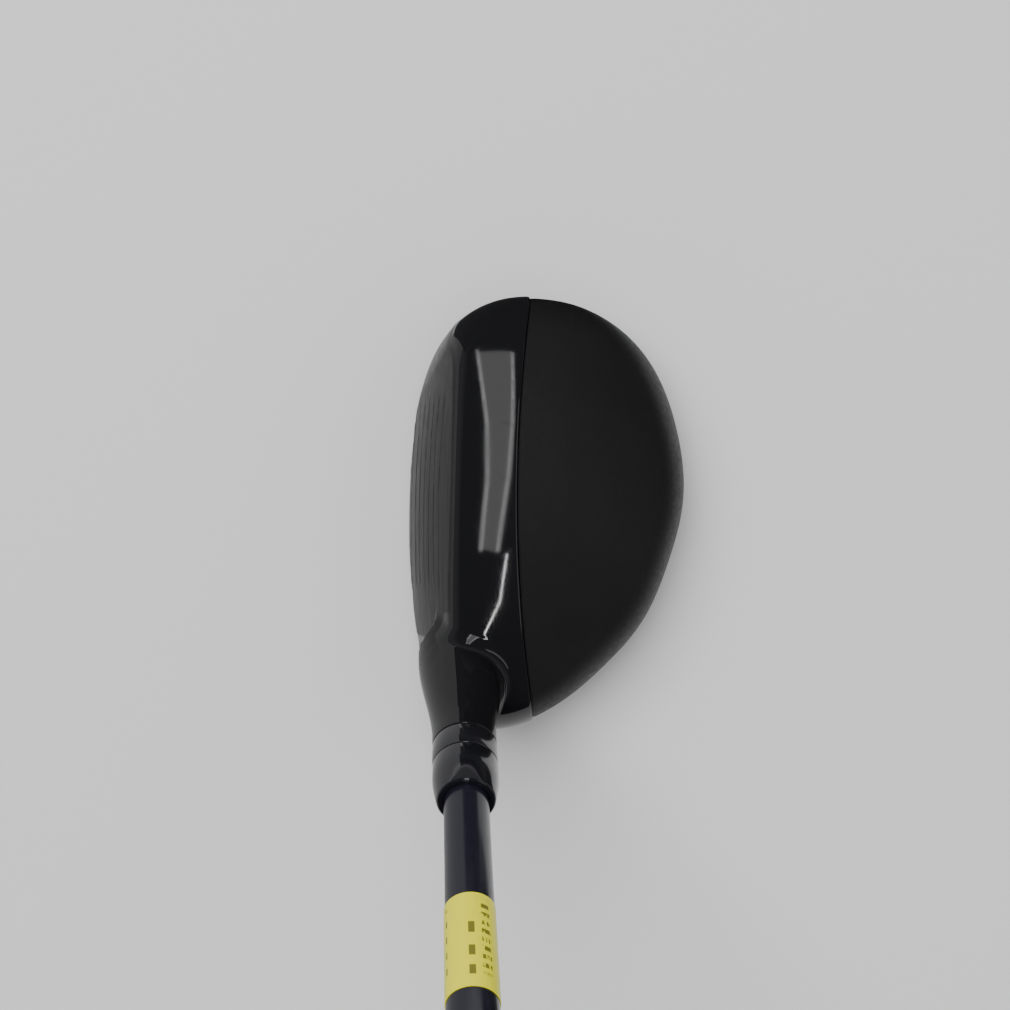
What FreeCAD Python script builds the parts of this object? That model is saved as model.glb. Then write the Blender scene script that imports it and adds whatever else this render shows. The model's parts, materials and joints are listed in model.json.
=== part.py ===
import FreeCAD, Part
import math
import os
from FreeCAD import Placement, Rotation, Vector

# Hybrid golf club, right handed, lying at address.
# Origin: the middle of the flat pad on the sole.  +X is the back of the head, +Y the toe, +Z up.
# Lengths along the shaft are measured from the point where its axis meets the ground.

# ---- head outline, seen from above ----
BACK_REACH = 42.2      # origin to the trailing edge
FRONT_REACH = 32.0     # origin to the front of the uncut form, ahead of the face
TOE_REACH = 49.4
HEEL_REACH = 52.3
# corners of the outline as shares of those four reaches, clockwise from the toe
OUTLINE = [
    (0.12, 1.00), (0.531, 0.915), (0.808, 0.70), (0.955, 0.408), (1.00, 0.10),
    (0.94, -0.182), (0.808, -0.449), (0.559, -0.707), (0.277, -0.895), (-0.016, -1.00),
    (-0.375, -0.981), (-0.703, -0.822), (-0.922, -0.535), (-1.00, -0.096), (-0.89, 0.364),
    (-0.625, 0.654), (-0.391, 0.868), (-0.14, 0.957),
]

# ---- crown and sole ----
CROWN_HEIGHT = 37.5
CROWN_TOP_X = -3.0
CROWN_TOP_Y = 1.0
DOME_SPREAD_X = 1.336  # dome half width, in back reaches
DOME_SPREAD_Y = 1.315  # dome half length, in toe reaches
DOME_DEPTH = 38.0
HEEL_LIFT = 5.0        # how far the crown rises towards the hosel
SOLE_RADIUS_X = 113.0
SOLE_RADIUS_Y = 127.0
SOLE_LOW_X = -4.0
SOLE_DIP = 0.35        # depth of the curved sole that is ground flat
CROWN_EDGE_RADIUS = 7.5
SOLE_EDGE_RADIUS = 4.5
SHELL = 1.0

# ---- face ----
LOFT = 17.0
FACE_RADIUS = 300.0
FACE_X = -20.0
FACE_Y = -6.0          # the bulge is centred a little to the heel
FACE_HEIGHT = 17.0
FACE_THICKNESS = 2.8
FACE_EDGE_RADIUS = 2.8
WELD_GAP = 0.05
GROOVES = 7
GROOVE_PITCH = 3.6
GROOVE_WIDTH = 0.8
GROOVE_DEPTH = 0.35
GROOVE_LENGTH = 46.0
GROOVE_TOE_SHIFT = 3.0

# ---- crown panel ----
SEAM_TOE_X = 6.2
SEAM_MIDDLE_X = 0.9
SEAM_HEEL_X = 6.6
SEAM_MIDDLE_Y = -6.0
PARTING_HEIGHT = 13.5  # lower edge of the panel on the skirt
PANEL_STEP = 0.5       # how far the panel lies below the polished band
PANEL_THICKNESS = 1.1
PANEL_GAP = 0.12
BOND_LINE = 0.15
LEDGE_WIDTH = 6.0
LEDGE_THICKNESS = 0.9
LEDGE_RIM = 1.6

# ---- shaft axis and hosel ----
LIE = 59.0
AXIS_X = -11.2
AXIS_Y = -22.2
HOSEL_TOP = 58.0
HOSEL_WALL = 0.9       # outside the slots
FLARE_LENGTH = 21.0
FLARE_SPREAD = 3.5
FLARE_FOOT = 8.0       # straight end of the flare, inside the head
STRAIGHT_TOP = 3.0     # straight end of the hosel, above the flare
SEAT_TOP = 20.0        # floor of the hosel bore
SEAT_THICKNESS = 3.0
SLEEVE_FIT = 0.1

# ---- adjusting ring, sleeve, ferrule ----
RING_HEIGHT = 6.2
JOINT_LINE = 0.12      # open line at each end of the ring
SLEEVE_WALL = 0.65
SLEEVE_RAISE = 0.5     # end of the sleeve above the seat
RIB_COUNT = 8
RIB_HEIGHT = 0.5
RIB_WIDTH = 1.8
RIB_REACH = 8.5        # how far the ribs go down into the hosel
RIB_END_GAP = 0.5
FLANGE_STEP = 0.7
FLANGE_HEIGHT = 4.0
THREAD_DEPTH = 12.0
THREAD_END_WALL = 1.5
FERRULE_LENGTH = 10.6
FERRULE_STRAIGHT = 4.2
FERRULE_WALL = 1.45    # at the shaft end
FERRULE_CHAMFER = 0.3
FERRULE_FIT = 0.1

# ---- shaft ----
TIP_RADIUS = 4.7
TIP_END = 95.0         # end of the parallel tip
BUTT_RADIUS = 7.6
BUTT_LENGTH = 231.0    # parallel butt, under the grip
SHAFT_END = 1016.0
TIP_WALL = 1.6
BUTT_WALL = 1.0
EPOXY = 0.15
TIP_CLEARANCE = 1.0    # between the shaft's end and the solid end of the sleeve
PLUG_LENGTH = 6.0
PLUG_INSET = 0.5
STICKER_OFFSET = 30.2  # from the ferrule to the label
STICKER_LENGTH = 22.5
STICKER_THICKNESS = 0.15
STICKER_WRAP = 352.0
STICKER_JOIN = -86.0   # where the label's ends meet, on the underside
FILM_GAP = 0.02

# ---- grip ----
GRIP_LENGTH = 263.0
MOUTH_WALL = 1.6
BUTT_GRIP_WALL = 5.4
MOUTH_ROUND = 0.4
MOUTH_ROUND_LENGTH = 1.2
GRIP_FIT = 0.05
TAPE_SETBACK = 35.0
TAPE_THICKNESS = 0.15
BUTT_SPACE = 2.0       # from the shaft's end to the grip's end
CAP_OVERHANG = 1.0
CAP_HEIGHT = 4.0
CAP_EDGE = 1.6
CAP_GAP = 0.2          # from the cap's plug to the shaft's end
VENT_RADIUS = 1.6

# ---- hosel screw ----
SCREW_RADIUS = 2.5
SCREW_FIT = 0.1
SEAT_HOLE_FIT = 0.3
SCREW_SPARE = 1.5      # thread left in the sleeve beyond the screw
SCREW_HEAD_RADIUS = 4.2
SCREW_HEAD = 4.6
WASHER_STEP = 0.4      # washer beyond the screw head
WASHER = 0.6
PORT_FIT = 0.6         # wrench port beyond the washer
SOCKET_RADIUS = 1.75
LOBE_RADIUS = 0.55
SOCKET_DEPTH = 2.6

# ---- sole weight ----
WEIGHT_X = 25.0
WEIGHT_HEAD_RADIUS = 7.0
WEIGHT_HEAD = 3.0
WEIGHT_SINK = 0.6      # how far the weight lies below the sole
WEIGHT_SHOULDER = 1.6  # head beyond the thread
WEIGHT_THREAD = 8.0
WEIGHT_WASHER = 0.5
WASHER_INSET = 0.2
WEIGHT_FIT = 0.1
WEIGHT_RUN_OUT = 0.5   # hole below the end of the thread
BOSS_WALL = 1.2

# ---- badge and inner weight ----
BADGE_X = 8.0
BADGE_Y = 27.0
BADGE_RADIUS = 8.0
BADGE_THICKNESS = 0.6
BADGE_SINK = 0.5
BADGE_FIT = 0.08
PAD_FRONT = -15.0
PAD_BACK = 13.0
PAD_HEEL = -12.0
PAD_TOE = 15.5
PAD_TOP = 4.2
PAD_FACE_GAP = 1.0

# ---- values that follow ----
SHAFT_BORE = TIP_RADIUS + EPOXY
SLEEVE_RADIUS = SHAFT_BORE + SLEEVE_WALL
BORE_RADIUS = SLEEVE_RADIUS + SLEEVE_FIT
RIB_RADIUS = SLEEVE_RADIUS + RIB_HEIGHT
FLANGE_RADIUS = SLEEVE_RADIUS + FLANGE_STEP
HOSEL_RADIUS = RIB_RADIUS + SLEEVE_FIT + HOSEL_WALL
FLARE_TOP = HOSEL_TOP - STRAIGHT_TOP
FLARE_BOTTOM = FLARE_TOP - FLARE_LENGTH
RIB_START = HOSEL_TOP - RIB_REACH
RING_BOTTOM = HOSEL_TOP + JOINT_LINE
RING_TOP = RING_BOTTOM + RING_HEIGHT
RIB_TOP = RING_TOP - JOINT_LINE
FERRULE_BOTTOM = RING_TOP + JOINT_LINE
FERRULE_TOP = FERRULE_BOTTOM + FERRULE_LENGTH
SLEEVE_BOTTOM = SEAT_TOP + SLEEVE_RAISE
SLEEVE_TOP = FERRULE_BOTTOM + FLANGE_HEIGHT
SHAFT_STOP = SLEEVE_BOTTOM + THREAD_DEPTH + THREAD_END_WALL
SHAFT_START = SHAFT_STOP + TIP_CLEARANCE
TAPER_END = SHAFT_END - BUTT_LENGTH
STICKER_START = FERRULE_TOP + STICKER_OFFSET
GRIP_END = SHAFT_END + BUTT_SPACE
GRIP_START = GRIP_END - GRIP_LENGTH
TAPE_START = GRIP_START + TAPE_SETBACK
GRIP_BORE = BUTT_RADIUS + TAPE_THICKNESS + GRIP_FIT
SEAT_BOTTOM = SEAT_TOP - SEAT_THICKNESS
WASHER_BOTTOM = SEAT_BOTTOM - WASHER
SCREW_TIP = SLEEVE_BOTTOM + THREAD_DEPTH - SCREW_SPARE
WASHER_RADIUS = SCREW_HEAD_RADIUS + WASHER_STEP
PORT_RADIUS = WASHER_RADIUS + PORT_FIT
WEIGHT_THREAD_RADIUS = WEIGHT_HEAD_RADIUS - WEIGHT_SHOULDER
LEDGE_DEPTH = PANEL_STEP + PANEL_THICKNESS + BOND_LINE
BEYOND = 5.0           # how far a cutting tool runs past a face
HEAD_BOX = 90.0        # larger than any part of the head


def shaft_frame():
    """Frame whose Z runs up the shaft axis from the ground."""
    lie = math.radians(LIE)
    along = Vector(0, -math.cos(lie), math.sin(lie))
    across = Vector(0, math.sin(lie), math.cos(lie))
    return Placement(Vector(AXIS_X, AXIS_Y, 0), Rotation(Vector(1, 0, 0), across, along, "ZXY"))


def sole_height(x, y):
    """Height of the curved sole above the ground."""
    rise_x = (x - SOLE_LOW_X) ** 2 / (2 * SOLE_RADIUS_X)
    rise_y = y ** 2 / (2 * SOLE_RADIUS_Y)
    return rise_x + rise_y - SOLE_DIP


def sole_frame(x, y):
    """Frame on the sole at x, y whose Z points straight out of the sole."""
    out = Vector((x - SOLE_LOW_X) / SOLE_RADIUS_X, y / SOLE_RADIUS_Y, -1)
    return Placement(Vector(x, y, sole_height(x, y)), Rotation(Vector(0, 0, 1), out))


def crown_height(x, y):
    """Height of the crown: a dome that rises again towards the heel."""
    span_x = BACK_REACH * DOME_SPREAD_X
    span_y = TOE_REACH * DOME_SPREAD_Y
    reach = ((x - CROWN_TOP_X) / span_x) ** 2 + ((y - CROWN_TOP_Y) / span_y) ** 2
    drop = DOME_DEPTH * (reach / 2 + reach ** 2 / 8 + reach ** 3 / 11)
    lift = HEEL_LIFT * (min(y, 0) / HEEL_REACH) ** 2 * (-min(y, 0) / HEEL_REACH)
    return CROWN_HEIGHT - drop + lift


def placed(shape, place):
    """The shape moved into a frame."""
    return shape.transformed(place.toMatrix())


def rod(radius, start, end, place):
    """A cylinder along the Z of a frame."""
    return placed(Part.makeCylinder(radius, end - start, Vector(0, 0, start)), place)


def turned(profile, place, angle=360.0):
    """Revolve a closed outline of (radius, height) points about the Z of a frame."""
    corners = [Vector(radius, 0, height) for radius, height in profile]
    face = Part.Face(Part.makePolygon(corners + corners[:1]))
    return placed(face.revolve(Vector(), Vector(0, 0, 1), angle), place)


def one_solid(shape):
    """The largest solid of a boolean result."""
    return max(shape.Solids, key=lambda solid: solid.Volume)


def outline_curve(inset):
    """Closed outline of the head, moved inwards by an inset."""
    corners = []
    for x, y in OUTLINE:
        reach_x = BACK_REACH if x > 0 else FRONT_REACH
        reach_y = TOE_REACH if y > 0 else HEEL_REACH
        corners.append(Vector(x * reach_x, y * reach_y, 0))
    curve = Part.BSplineCurve()
    curve.interpolate(Points=corners, PeriodicFlag=True)
    if inset == 0:
        return curve
    steps = len(OUTLINE)
    first = curve.FirstParameter
    length = curve.LastParameter - first
    moved = []
    for step in range(steps):
        at = first + length * step / steps
        tangent = curve.tangent(at)[0]
        moved.append(curve.value(at) + Vector(tangent.y, -tangent.x, 0) * inset)
    inner = Part.BSplineCurve()
    inner.interpolate(Points=moved, PeriodicFlag=True)
    return inner


def sheet(height, shift):
    """A smooth sheet through heights over the whole head."""
    columns = [-44 + 14 * step for step in range(9)]
    rows = [-72 + 16 * step for step in range(10)]
    grid = [[Vector(x, y, height(x, y) + shift) for y in rows] for x in columns]
    surface = Part.BSplineSurface()
    surface.interpolate(grid)
    return surface.toShape()


def head_form(inset):
    """The head without face and hosel, every wall moved inwards by an inset."""
    base = Part.Face(Part.Wire([outline_curve(inset).toShape()]))
    base.translate(Vector(0, 0, -10))
    prism = base.extrude(Vector(0, 0, HEAD_BOX))
    under_crown = sheet(crown_height, -inset).extrude(Vector(0, 0, -HEAD_BOX))
    over_sole = sheet(sole_height, inset).extrude(Vector(0, 0, HEAD_BOX))
    form = one_solid(prism.common(under_crown).common(over_sole))
    for radius, pick in ((CROWN_EDGE_RADIUS, max), (SOLE_EDGE_RADIUS, min)):
        rims = [edge for edge in form.Edges if edge.Length > 3 * BACK_REACH]
        rim = pick(rims, key=lambda edge: edge.CenterOfMass.z)
        form = one_solid(form.makeFillet(radius - inset, [rim]))
    return form


def face_ball(depth):
    """Ball whose surface is the bulged face, moved back by a depth."""
    loft = math.radians(LOFT)
    out = Vector(-math.cos(loft), 0, math.sin(loft))
    centre = Vector(FACE_X, FACE_Y, FACE_HEIGHT) - out * FACE_RADIUS
    return Part.makeSphere(FACE_RADIUS - depth, centre)


def faced_form():
    """The outer form cut by the face, with the edge of the face rounded."""
    cut = one_solid(head_form(0).common(face_ball(0)))
    face = max((f for f in cut.Faces if isinstance(f.Surface, Part.Sphere)), key=lambda f: f.Area)
    rounded = one_solid(cut.makeFillet(FACE_EDGE_RADIUS, face.Edges))
    ground = Part.makeBox(2 * HEAD_BOX, 2 * HEAD_BOX, 10, Vector(-HEAD_BOX, -HEAD_BOX, -10))
    return one_solid(rounded.cut(ground))


def hosel_flare(growth=0.0):
    """The hosel with its waist, flaring into the head; growth makes it a cutting tool."""
    length = FLARE_LENGTH
    bend = (length ** 2 + FLARE_SPREAD ** 2) / (2 * FLARE_SPREAD)
    middle = HOSEL_RADIUS + bend - math.sqrt(bend ** 2 - (length / 2) ** 2)
    top = Vector(HOSEL_RADIUS + growth, 0, FLARE_TOP)
    waist = Vector(middle + growth, 0, FLARE_TOP - length / 2)
    foot = Vector(HOSEL_RADIUS + FLARE_SPREAD + growth, 0, FLARE_BOTTOM)
    rest = [
        foot,
        foot - Vector(0, 0, FLARE_FOOT),
        Vector(0, 0, FLARE_BOTTOM - FLARE_FOOT),
        Vector(0, 0, HOSEL_TOP),
        Vector(HOSEL_RADIUS + growth, 0, HOSEL_TOP),
        top,
    ]
    edges = [Part.Arc(top, waist, foot).toShape()]
    for start, end in zip(rest, rest[1:]):
        edges.append(Part.LineSegment(start, end).toShape())
    profile = Part.Face(Part.Wire(edges))
    return placed(profile.revolve(Vector(), Vector(0, 0, 1), 360), shaft_frame())


def behind_seam(shift, parting):
    """Everything behind the crown seam and above the parting line."""
    toe = Vector(SEAM_TOE_X + shift, HEAD_BOX / 1.6, parting)
    middle = Vector(SEAM_MIDDLE_X + shift, SEAM_MIDDLE_Y, parting)
    heel = Vector(SEAM_HEEL_X + shift, -HEAD_BOX / 1.6, parting)
    corner_heel = Vector(HEAD_BOX, heel.y, parting)
    corner_toe = Vector(HEAD_BOX, toe.y, parting)
    edges = [
        Part.Arc(toe, middle, heel).toShape(),
        Part.LineSegment(heel, corner_heel).toShape(),
        Part.LineSegment(corner_heel, corner_toe).toShape(),
        Part.LineSegment(corner_toe, toe).toShape(),
    ]
    return Part.Face(Part.Wire(edges)).extrude(Vector(0, 0, HEAD_BOX))


def ribs(reach, width, start, end):
    """The ring of driving ribs round the sleeve, or the slots that take them."""
    blades = []
    for turn in range(RIB_COUNT):
        blade = Part.makeBox(reach, width, end - start, Vector(0, -width / 2, start))
        blade.rotate(Vector(), Vector(0, 0, 1), 360.0 * turn / RIB_COUNT)
        blades.append(blade)
    rib_ring = Part.makeCylinder(reach, end - start, Vector(0, 0, start))
    return placed(blades[0].fuse(blades[1:]).common(rib_ring), shaft_frame())


def six_lobe_socket(start, depth, place):
    """Six-lobe wrench socket, open at its start."""
    core = Part.makeCylinder(SOCKET_RADIUS, depth, Vector(0, 0, start))
    lobes = []
    for turn in range(6):
        angle = math.radians(60 * turn)
        at = Vector(SOCKET_RADIUS * math.cos(angle), SOCKET_RADIUS * math.sin(angle), start)
        lobes.append(Part.makeCylinder(LOBE_RADIUS, depth, at))
    return placed(core.fuse(lobes), place)


def weight_frame():
    """Frame at the face of the sole weight; Z points out of the sole."""
    frame = sole_frame(WEIGHT_X, 0)
    return frame.multiply(Placement(Vector(0, 0, -WEIGHT_SINK), Rotation()))


def badge_frame():
    """Frame at the outer face of the badge; Z points out of the sole."""
    frame = sole_frame(BADGE_X, BADGE_Y)
    return frame.multiply(Placement(Vector(0, 0, -BADGE_SINK), Rotation()))


def stepped_shell(outer, cavity, ledge_top, ledge_under):
    """Thin cast wall, with a thicker stepped ledge where the crown panel sits."""
    thick_zone = behind_seam(-LEDGE_RIM, PARTING_HEIGHT - LEDGE_RIM)
    open_zone = behind_seam(LEDGE_WIDTH, PARTING_HEIGHT + LEDGE_WIDTH)
    step = behind_seam(0, PARTING_HEIGHT).cut(ledge_top)
    thin_part = outer.cut(thick_zone).cut(cavity)
    thick_part = outer.common(thick_zone).cut(step).cut(ledge_under.fuse(open_zone))
    return thin_part.fuse(thick_part)


def head_body(outer, cavity, ledge_top, ledge_under):
    """Cast shell: polished band, skirt, sole, hosel, ledge, seats and bosses."""
    shaft = shaft_frame()
    weight = weight_frame()
    badge = badge_frame()
    weight_depth = WEIGHT_HEAD + WEIGHT_WASHER + WEIGHT_THREAD + WEIGHT_RUN_OUT
    bosses = [
        rod(HOSEL_RADIUS, -BEYOND, FLARE_BOTTOM, shaft),
        rod(WEIGHT_HEAD_RADIUS + WEIGHT_FIT + BOSS_WALL, -weight_depth - BOSS_WALL, BEYOND, weight),
        rod(BADGE_RADIUS + BOSS_WALL, -BADGE_THICKNESS - BOSS_WALL, BEYOND, badge),
    ]
    body = stepped_shell(outer, cavity, ledge_top, ledge_under)
    body = body.common(face_ball(FACE_THICKNESS + WELD_GAP))
    body = body.fuse(bosses[0].fuse(bosses[1:]).common(outer)).fuse(hosel_flare())

    slot_width = RIB_WIDTH + 2 * SLEEVE_FIT
    cuts = [
        rod(BORE_RADIUS, SEAT_TOP, HOSEL_TOP + BEYOND, shaft),
        rod(SCREW_RADIUS + SEAT_HOLE_FIT, 0, SEAT_TOP + 1, shaft),
        rod(PORT_RADIUS, -BEYOND, SEAT_BOTTOM, shaft),
        ribs(RIB_RADIUS + SLEEVE_FIT, slot_width, RIB_START - RIB_END_GAP, HOSEL_TOP + BEYOND),
        rod(WEIGHT_HEAD_RADIUS + WEIGHT_FIT, -WEIGHT_HEAD - WEIGHT_WASHER, BEYOND, weight),
        rod(WEIGHT_THREAD_RADIUS + WEIGHT_FIT, -weight_depth, 0, weight),
        rod(BADGE_RADIUS + BADGE_FIT, -BADGE_THICKNESS, BEYOND, badge),
    ]
    for tool in cuts:
        body = body.cut(tool)
    return one_solid(body)


def face_insert(outer):
    """Face cup with its heel to toe grooves, ending at the hosel."""
    cup = outer.cut(face_ball(FACE_THICKNESS))
    tube = rod(HOSEL_RADIUS + WELD_GAP, -BEYOND, FLARE_BOTTOM, shaft_frame())
    cup = cup.cut(hosel_flare(WELD_GAP)).cut(tube)
    loft = Rotation(Vector(0, 1, 0), LOFT)
    strips = []
    for line in range(GROOVES):
        height = (line - (GROOVES - 1) / 2) * GROOVE_PITCH
        corner = Vector(-20, GROOVE_TOE_SHIFT - GROOVE_LENGTH / 2, height - GROOVE_WIDTH / 2)
        strip = Part.makeBox(40, GROOVE_LENGTH, GROOVE_WIDTH, corner)
        strips.append(placed(strip, Placement(Vector(FACE_X, 0, FACE_HEIGHT), loft)))
    for strip in strips:
        cup = cup.cut(strip.cut(face_ball(GROOVE_DEPTH)))
    return one_solid(cup)


def crown_panel(panel_top, panel_under):
    """Moulded rear crown, just below the level of the polished band."""
    region = behind_seam(PANEL_GAP, PARTING_HEIGHT + PANEL_GAP)
    return one_solid(panel_top.common(region).cut(panel_under))


def crown_adhesive(panel_under, ledge_top):
    """Bond line between the panel and its ledge."""
    region = behind_seam(PANEL_GAP, PARTING_HEIGHT + PANEL_GAP)
    inside = behind_seam(LEDGE_WIDTH, PARTING_HEIGHT + LEDGE_WIDTH)
    return one_solid(panel_under.common(region).cut(ledge_top).cut(inside))


def inner_weight(cavity):
    """Dense pad bonded to the inside of the sole."""
    size = Vector(PAD_BACK - PAD_FRONT, PAD_TOE - PAD_HEEL, PAD_TOP + 10)
    block = Part.makeBox(size.x, size.y, size.z, Vector(PAD_FRONT, PAD_HEEL, -10))
    ball = face_ball(FACE_THICKNESS + PAD_FACE_GAP)
    return one_solid(cavity.common(block).common(ball))


def sole_badge():
    """Plain round badge let into the sole."""
    return rod(BADGE_RADIUS, -BADGE_THICKNESS, 0, badge_frame())


def adjusting_ring():
    """Ring between the hosel and the ferrule, slotted for the ribs."""
    shaft = shaft_frame()
    ring = rod(HOSEL_RADIUS, RING_BOTTOM, RING_TOP, shaft)
    ring = ring.cut(rod(BORE_RADIUS, RING_BOTTOM - 1, RING_TOP + 1, shaft))
    slot_width = RIB_WIDTH + 2 * SLEEVE_FIT
    slots = ribs(RIB_RADIUS + SLEEVE_FIT, slot_width, RING_BOTTOM - 1, RING_TOP + 1)
    return one_solid(ring.cut(slots))


def sleeve():
    """Shaft sleeve with driving ribs, flange and a threaded end."""
    shaft = shaft_frame()
    body = rod(SLEEVE_RADIUS, SLEEVE_BOTTOM, SLEEVE_TOP, shaft)
    flange = rod(FLANGE_RADIUS, FERRULE_BOTTOM, SLEEVE_TOP, shaft)
    rib_ring = ribs(RIB_RADIUS, RIB_WIDTH, RIB_START, RIB_TOP)
    body = body.fuse([flange, rib_ring])
    body = body.cut(rod(SHAFT_BORE, SHAFT_STOP, SLEEVE_TOP + 1, shaft))
    thread = rod(SCREW_RADIUS + SCREW_FIT, SLEEVE_BOTTOM - 1, SLEEVE_BOTTOM + THREAD_DEPTH, shaft)
    return one_solid(body.cut(thread))


def shaft_epoxy():
    """Bond line between the shaft and its sleeve."""
    inside = TIP_RADIUS + FILM_GAP
    outside = SHAFT_BORE - FILM_GAP
    start = SHAFT_START
    profile = [(inside, start), (outside, start), (outside, SLEEVE_TOP), (inside, SLEEVE_TOP)]
    return turned(profile, shaft_frame())


def ferrule():
    """Turned ferrule that hides the sleeve's flange and chamfers down to the shaft."""
    bore = TIP_RADIUS + FERRULE_FIT
    pocket = FLANGE_RADIUS + FERRULE_FIT
    end_radius = TIP_RADIUS + FERRULE_WALL
    profile = [
        (pocket, FERRULE_BOTTOM),
        (HOSEL_RADIUS, FERRULE_BOTTOM),
        (HOSEL_RADIUS, FERRULE_BOTTOM + FERRULE_STRAIGHT),
        (end_radius, FERRULE_TOP - FERRULE_CHAMFER),
        (end_radius - FERRULE_CHAMFER, FERRULE_TOP),
        (bore, FERRULE_TOP),
        (bore, SLEEVE_TOP + FERRULE_FIT),
        (pocket, SLEEVE_TOP + FERRULE_FIT),
    ]
    return turned(profile, shaft_frame())


def shaft_radius(along):
    """Outer radius of the shaft at a length along its axis."""
    if along <= TIP_END:
        return TIP_RADIUS
    if along >= TAPER_END:
        return BUTT_RADIUS
    share = (along - TIP_END) / (TAPER_END - TIP_END)
    return TIP_RADIUS + share * (BUTT_RADIUS - TIP_RADIUS)


def golf_shaft():
    """Hollow shaft: parallel tip, long taper, parallel butt."""
    profile = [
        (TIP_RADIUS, SHAFT_START),
        (TIP_RADIUS, TIP_END),
        (BUTT_RADIUS, TAPER_END),
        (BUTT_RADIUS, SHAFT_END),
        (BUTT_RADIUS - BUTT_WALL, SHAFT_END),
        (BUTT_RADIUS - BUTT_WALL, TAPER_END),
        (TIP_RADIUS - TIP_WALL, TIP_END),
        (TIP_RADIUS - TIP_WALL, SHAFT_START),
    ]
    return turned(profile, shaft_frame())


def tip_plug():
    """Plug that keeps glue out of the shaft."""
    start = SHAFT_START + PLUG_INSET
    return rod(TIP_RADIUS - TIP_WALL - FILM_GAP, start, start + PLUG_LENGTH, shaft_frame())


def price_sticker():
    """Paper label wrapped round the lower shaft."""
    end = STICKER_START + STICKER_LENGTH
    low = shaft_radius(STICKER_START) + FILM_GAP
    high = shaft_radius(end) + FILM_GAP
    profile = [
        (low, STICKER_START),
        (low + STICKER_THICKNESS, STICKER_START),
        (high + STICKER_THICKNESS, end),
        (high, end),
    ]
    turn = Placement(Vector(), Rotation(Vector(0, 0, 1), STICKER_JOIN))
    behind = shaft_frame().multiply(turn)
    return turned(profile, behind, STICKER_WRAP)


def grip_tape():
    """Double sided tape between the shaft and the grip."""
    inside = BUTT_RADIUS + FILM_GAP
    outside = BUTT_RADIUS + TAPE_THICKNESS
    end = SHAFT_END - 1.0
    profile = [(inside, TAPE_START), (outside, TAPE_START), (outside, end), (inside, end)]
    return turned(profile, shaft_frame())


def grip():
    """Tapered rubber grip, open at the mouth and at the butt."""
    profile = [
        (GRIP_BORE, GRIP_START),
        (GRIP_BORE + MOUTH_WALL - MOUTH_ROUND, GRIP_START),
        (GRIP_BORE + MOUTH_WALL, GRIP_START + MOUTH_ROUND_LENGTH),
        (GRIP_BORE + BUTT_GRIP_WALL, GRIP_END),
        (GRIP_BORE, GRIP_END),
    ]
    return turned(profile, shaft_frame())


def grip_cap():
    """Butt cap with its plug in the grip and a vent hole."""
    top = GRIP_END + CAP_HEIGHT
    plug = SHAFT_END + CAP_GAP
    radius = GRIP_BORE + BUTT_GRIP_WALL + CAP_OVERHANG
    profile = [
        (VENT_RADIUS, plug),
        (GRIP_BORE - GRIP_FIT, plug),
        (GRIP_BORE - GRIP_FIT, GRIP_END),
        (radius, GRIP_END),
        (radius, top - CAP_EDGE),
        (radius - CAP_EDGE, top),
        (VENT_RADIUS, top),
    ]
    return turned(profile, shaft_frame())


def screw_washer():
    """Captive washer under the hosel screw's head."""
    shaft = shaft_frame()
    disc = rod(WASHER_RADIUS, WASHER_BOTTOM, SEAT_BOTTOM, shaft)
    return disc.cut(rod(SCREW_RADIUS + SCREW_FIT, WASHER_BOTTOM - 1, SEAT_BOTTOM + 1, shaft))


def hosel_screw():
    """Screw that draws the sleeve down into the hosel."""
    shaft = shaft_frame()
    head_start = WASHER_BOTTOM - SCREW_HEAD
    head = rod(SCREW_HEAD_RADIUS, head_start, WASHER_BOTTOM, shaft)
    screw = head.fuse(rod(SCREW_RADIUS, WASHER_BOTTOM - 1, SCREW_TIP, shaft))
    return one_solid(screw.cut(six_lobe_socket(head_start, SOCKET_DEPTH, shaft)))


def weight_washer():
    """Washer under the head of the sole weight."""
    place = weight_frame()
    top = -WEIGHT_HEAD
    disc = rod(WEIGHT_HEAD_RADIUS - WASHER_INSET, top - WEIGHT_WASHER, top, place)
    return disc.cut(rod(WEIGHT_THREAD_RADIUS + WEIGHT_FIT, top - WEIGHT_WASHER - 1, top + 1, place))


def sole_weight():
    """Screw-in weight at the back of the sole."""
    place = weight_frame()
    thread_end = -WEIGHT_HEAD - WEIGHT_WASHER - WEIGHT_THREAD
    weight = rod(WEIGHT_HEAD_RADIUS, -WEIGHT_HEAD, 0, place)
    weight = weight.fuse(rod(WEIGHT_THREAD_RADIUS, thread_end, -WEIGHT_HEAD + 1, place))
    return one_solid(weight.cut(six_lobe_socket(-SOCKET_DEPTH, SOCKET_DEPTH + 1, place)))


def save(name, shape):
    """Write one sub-part."""
    shape.exportStep("parts/" + name + ".step")
    print(name, shape.isValid(), len(shape.Solids), round(shape.Volume, 2))


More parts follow.
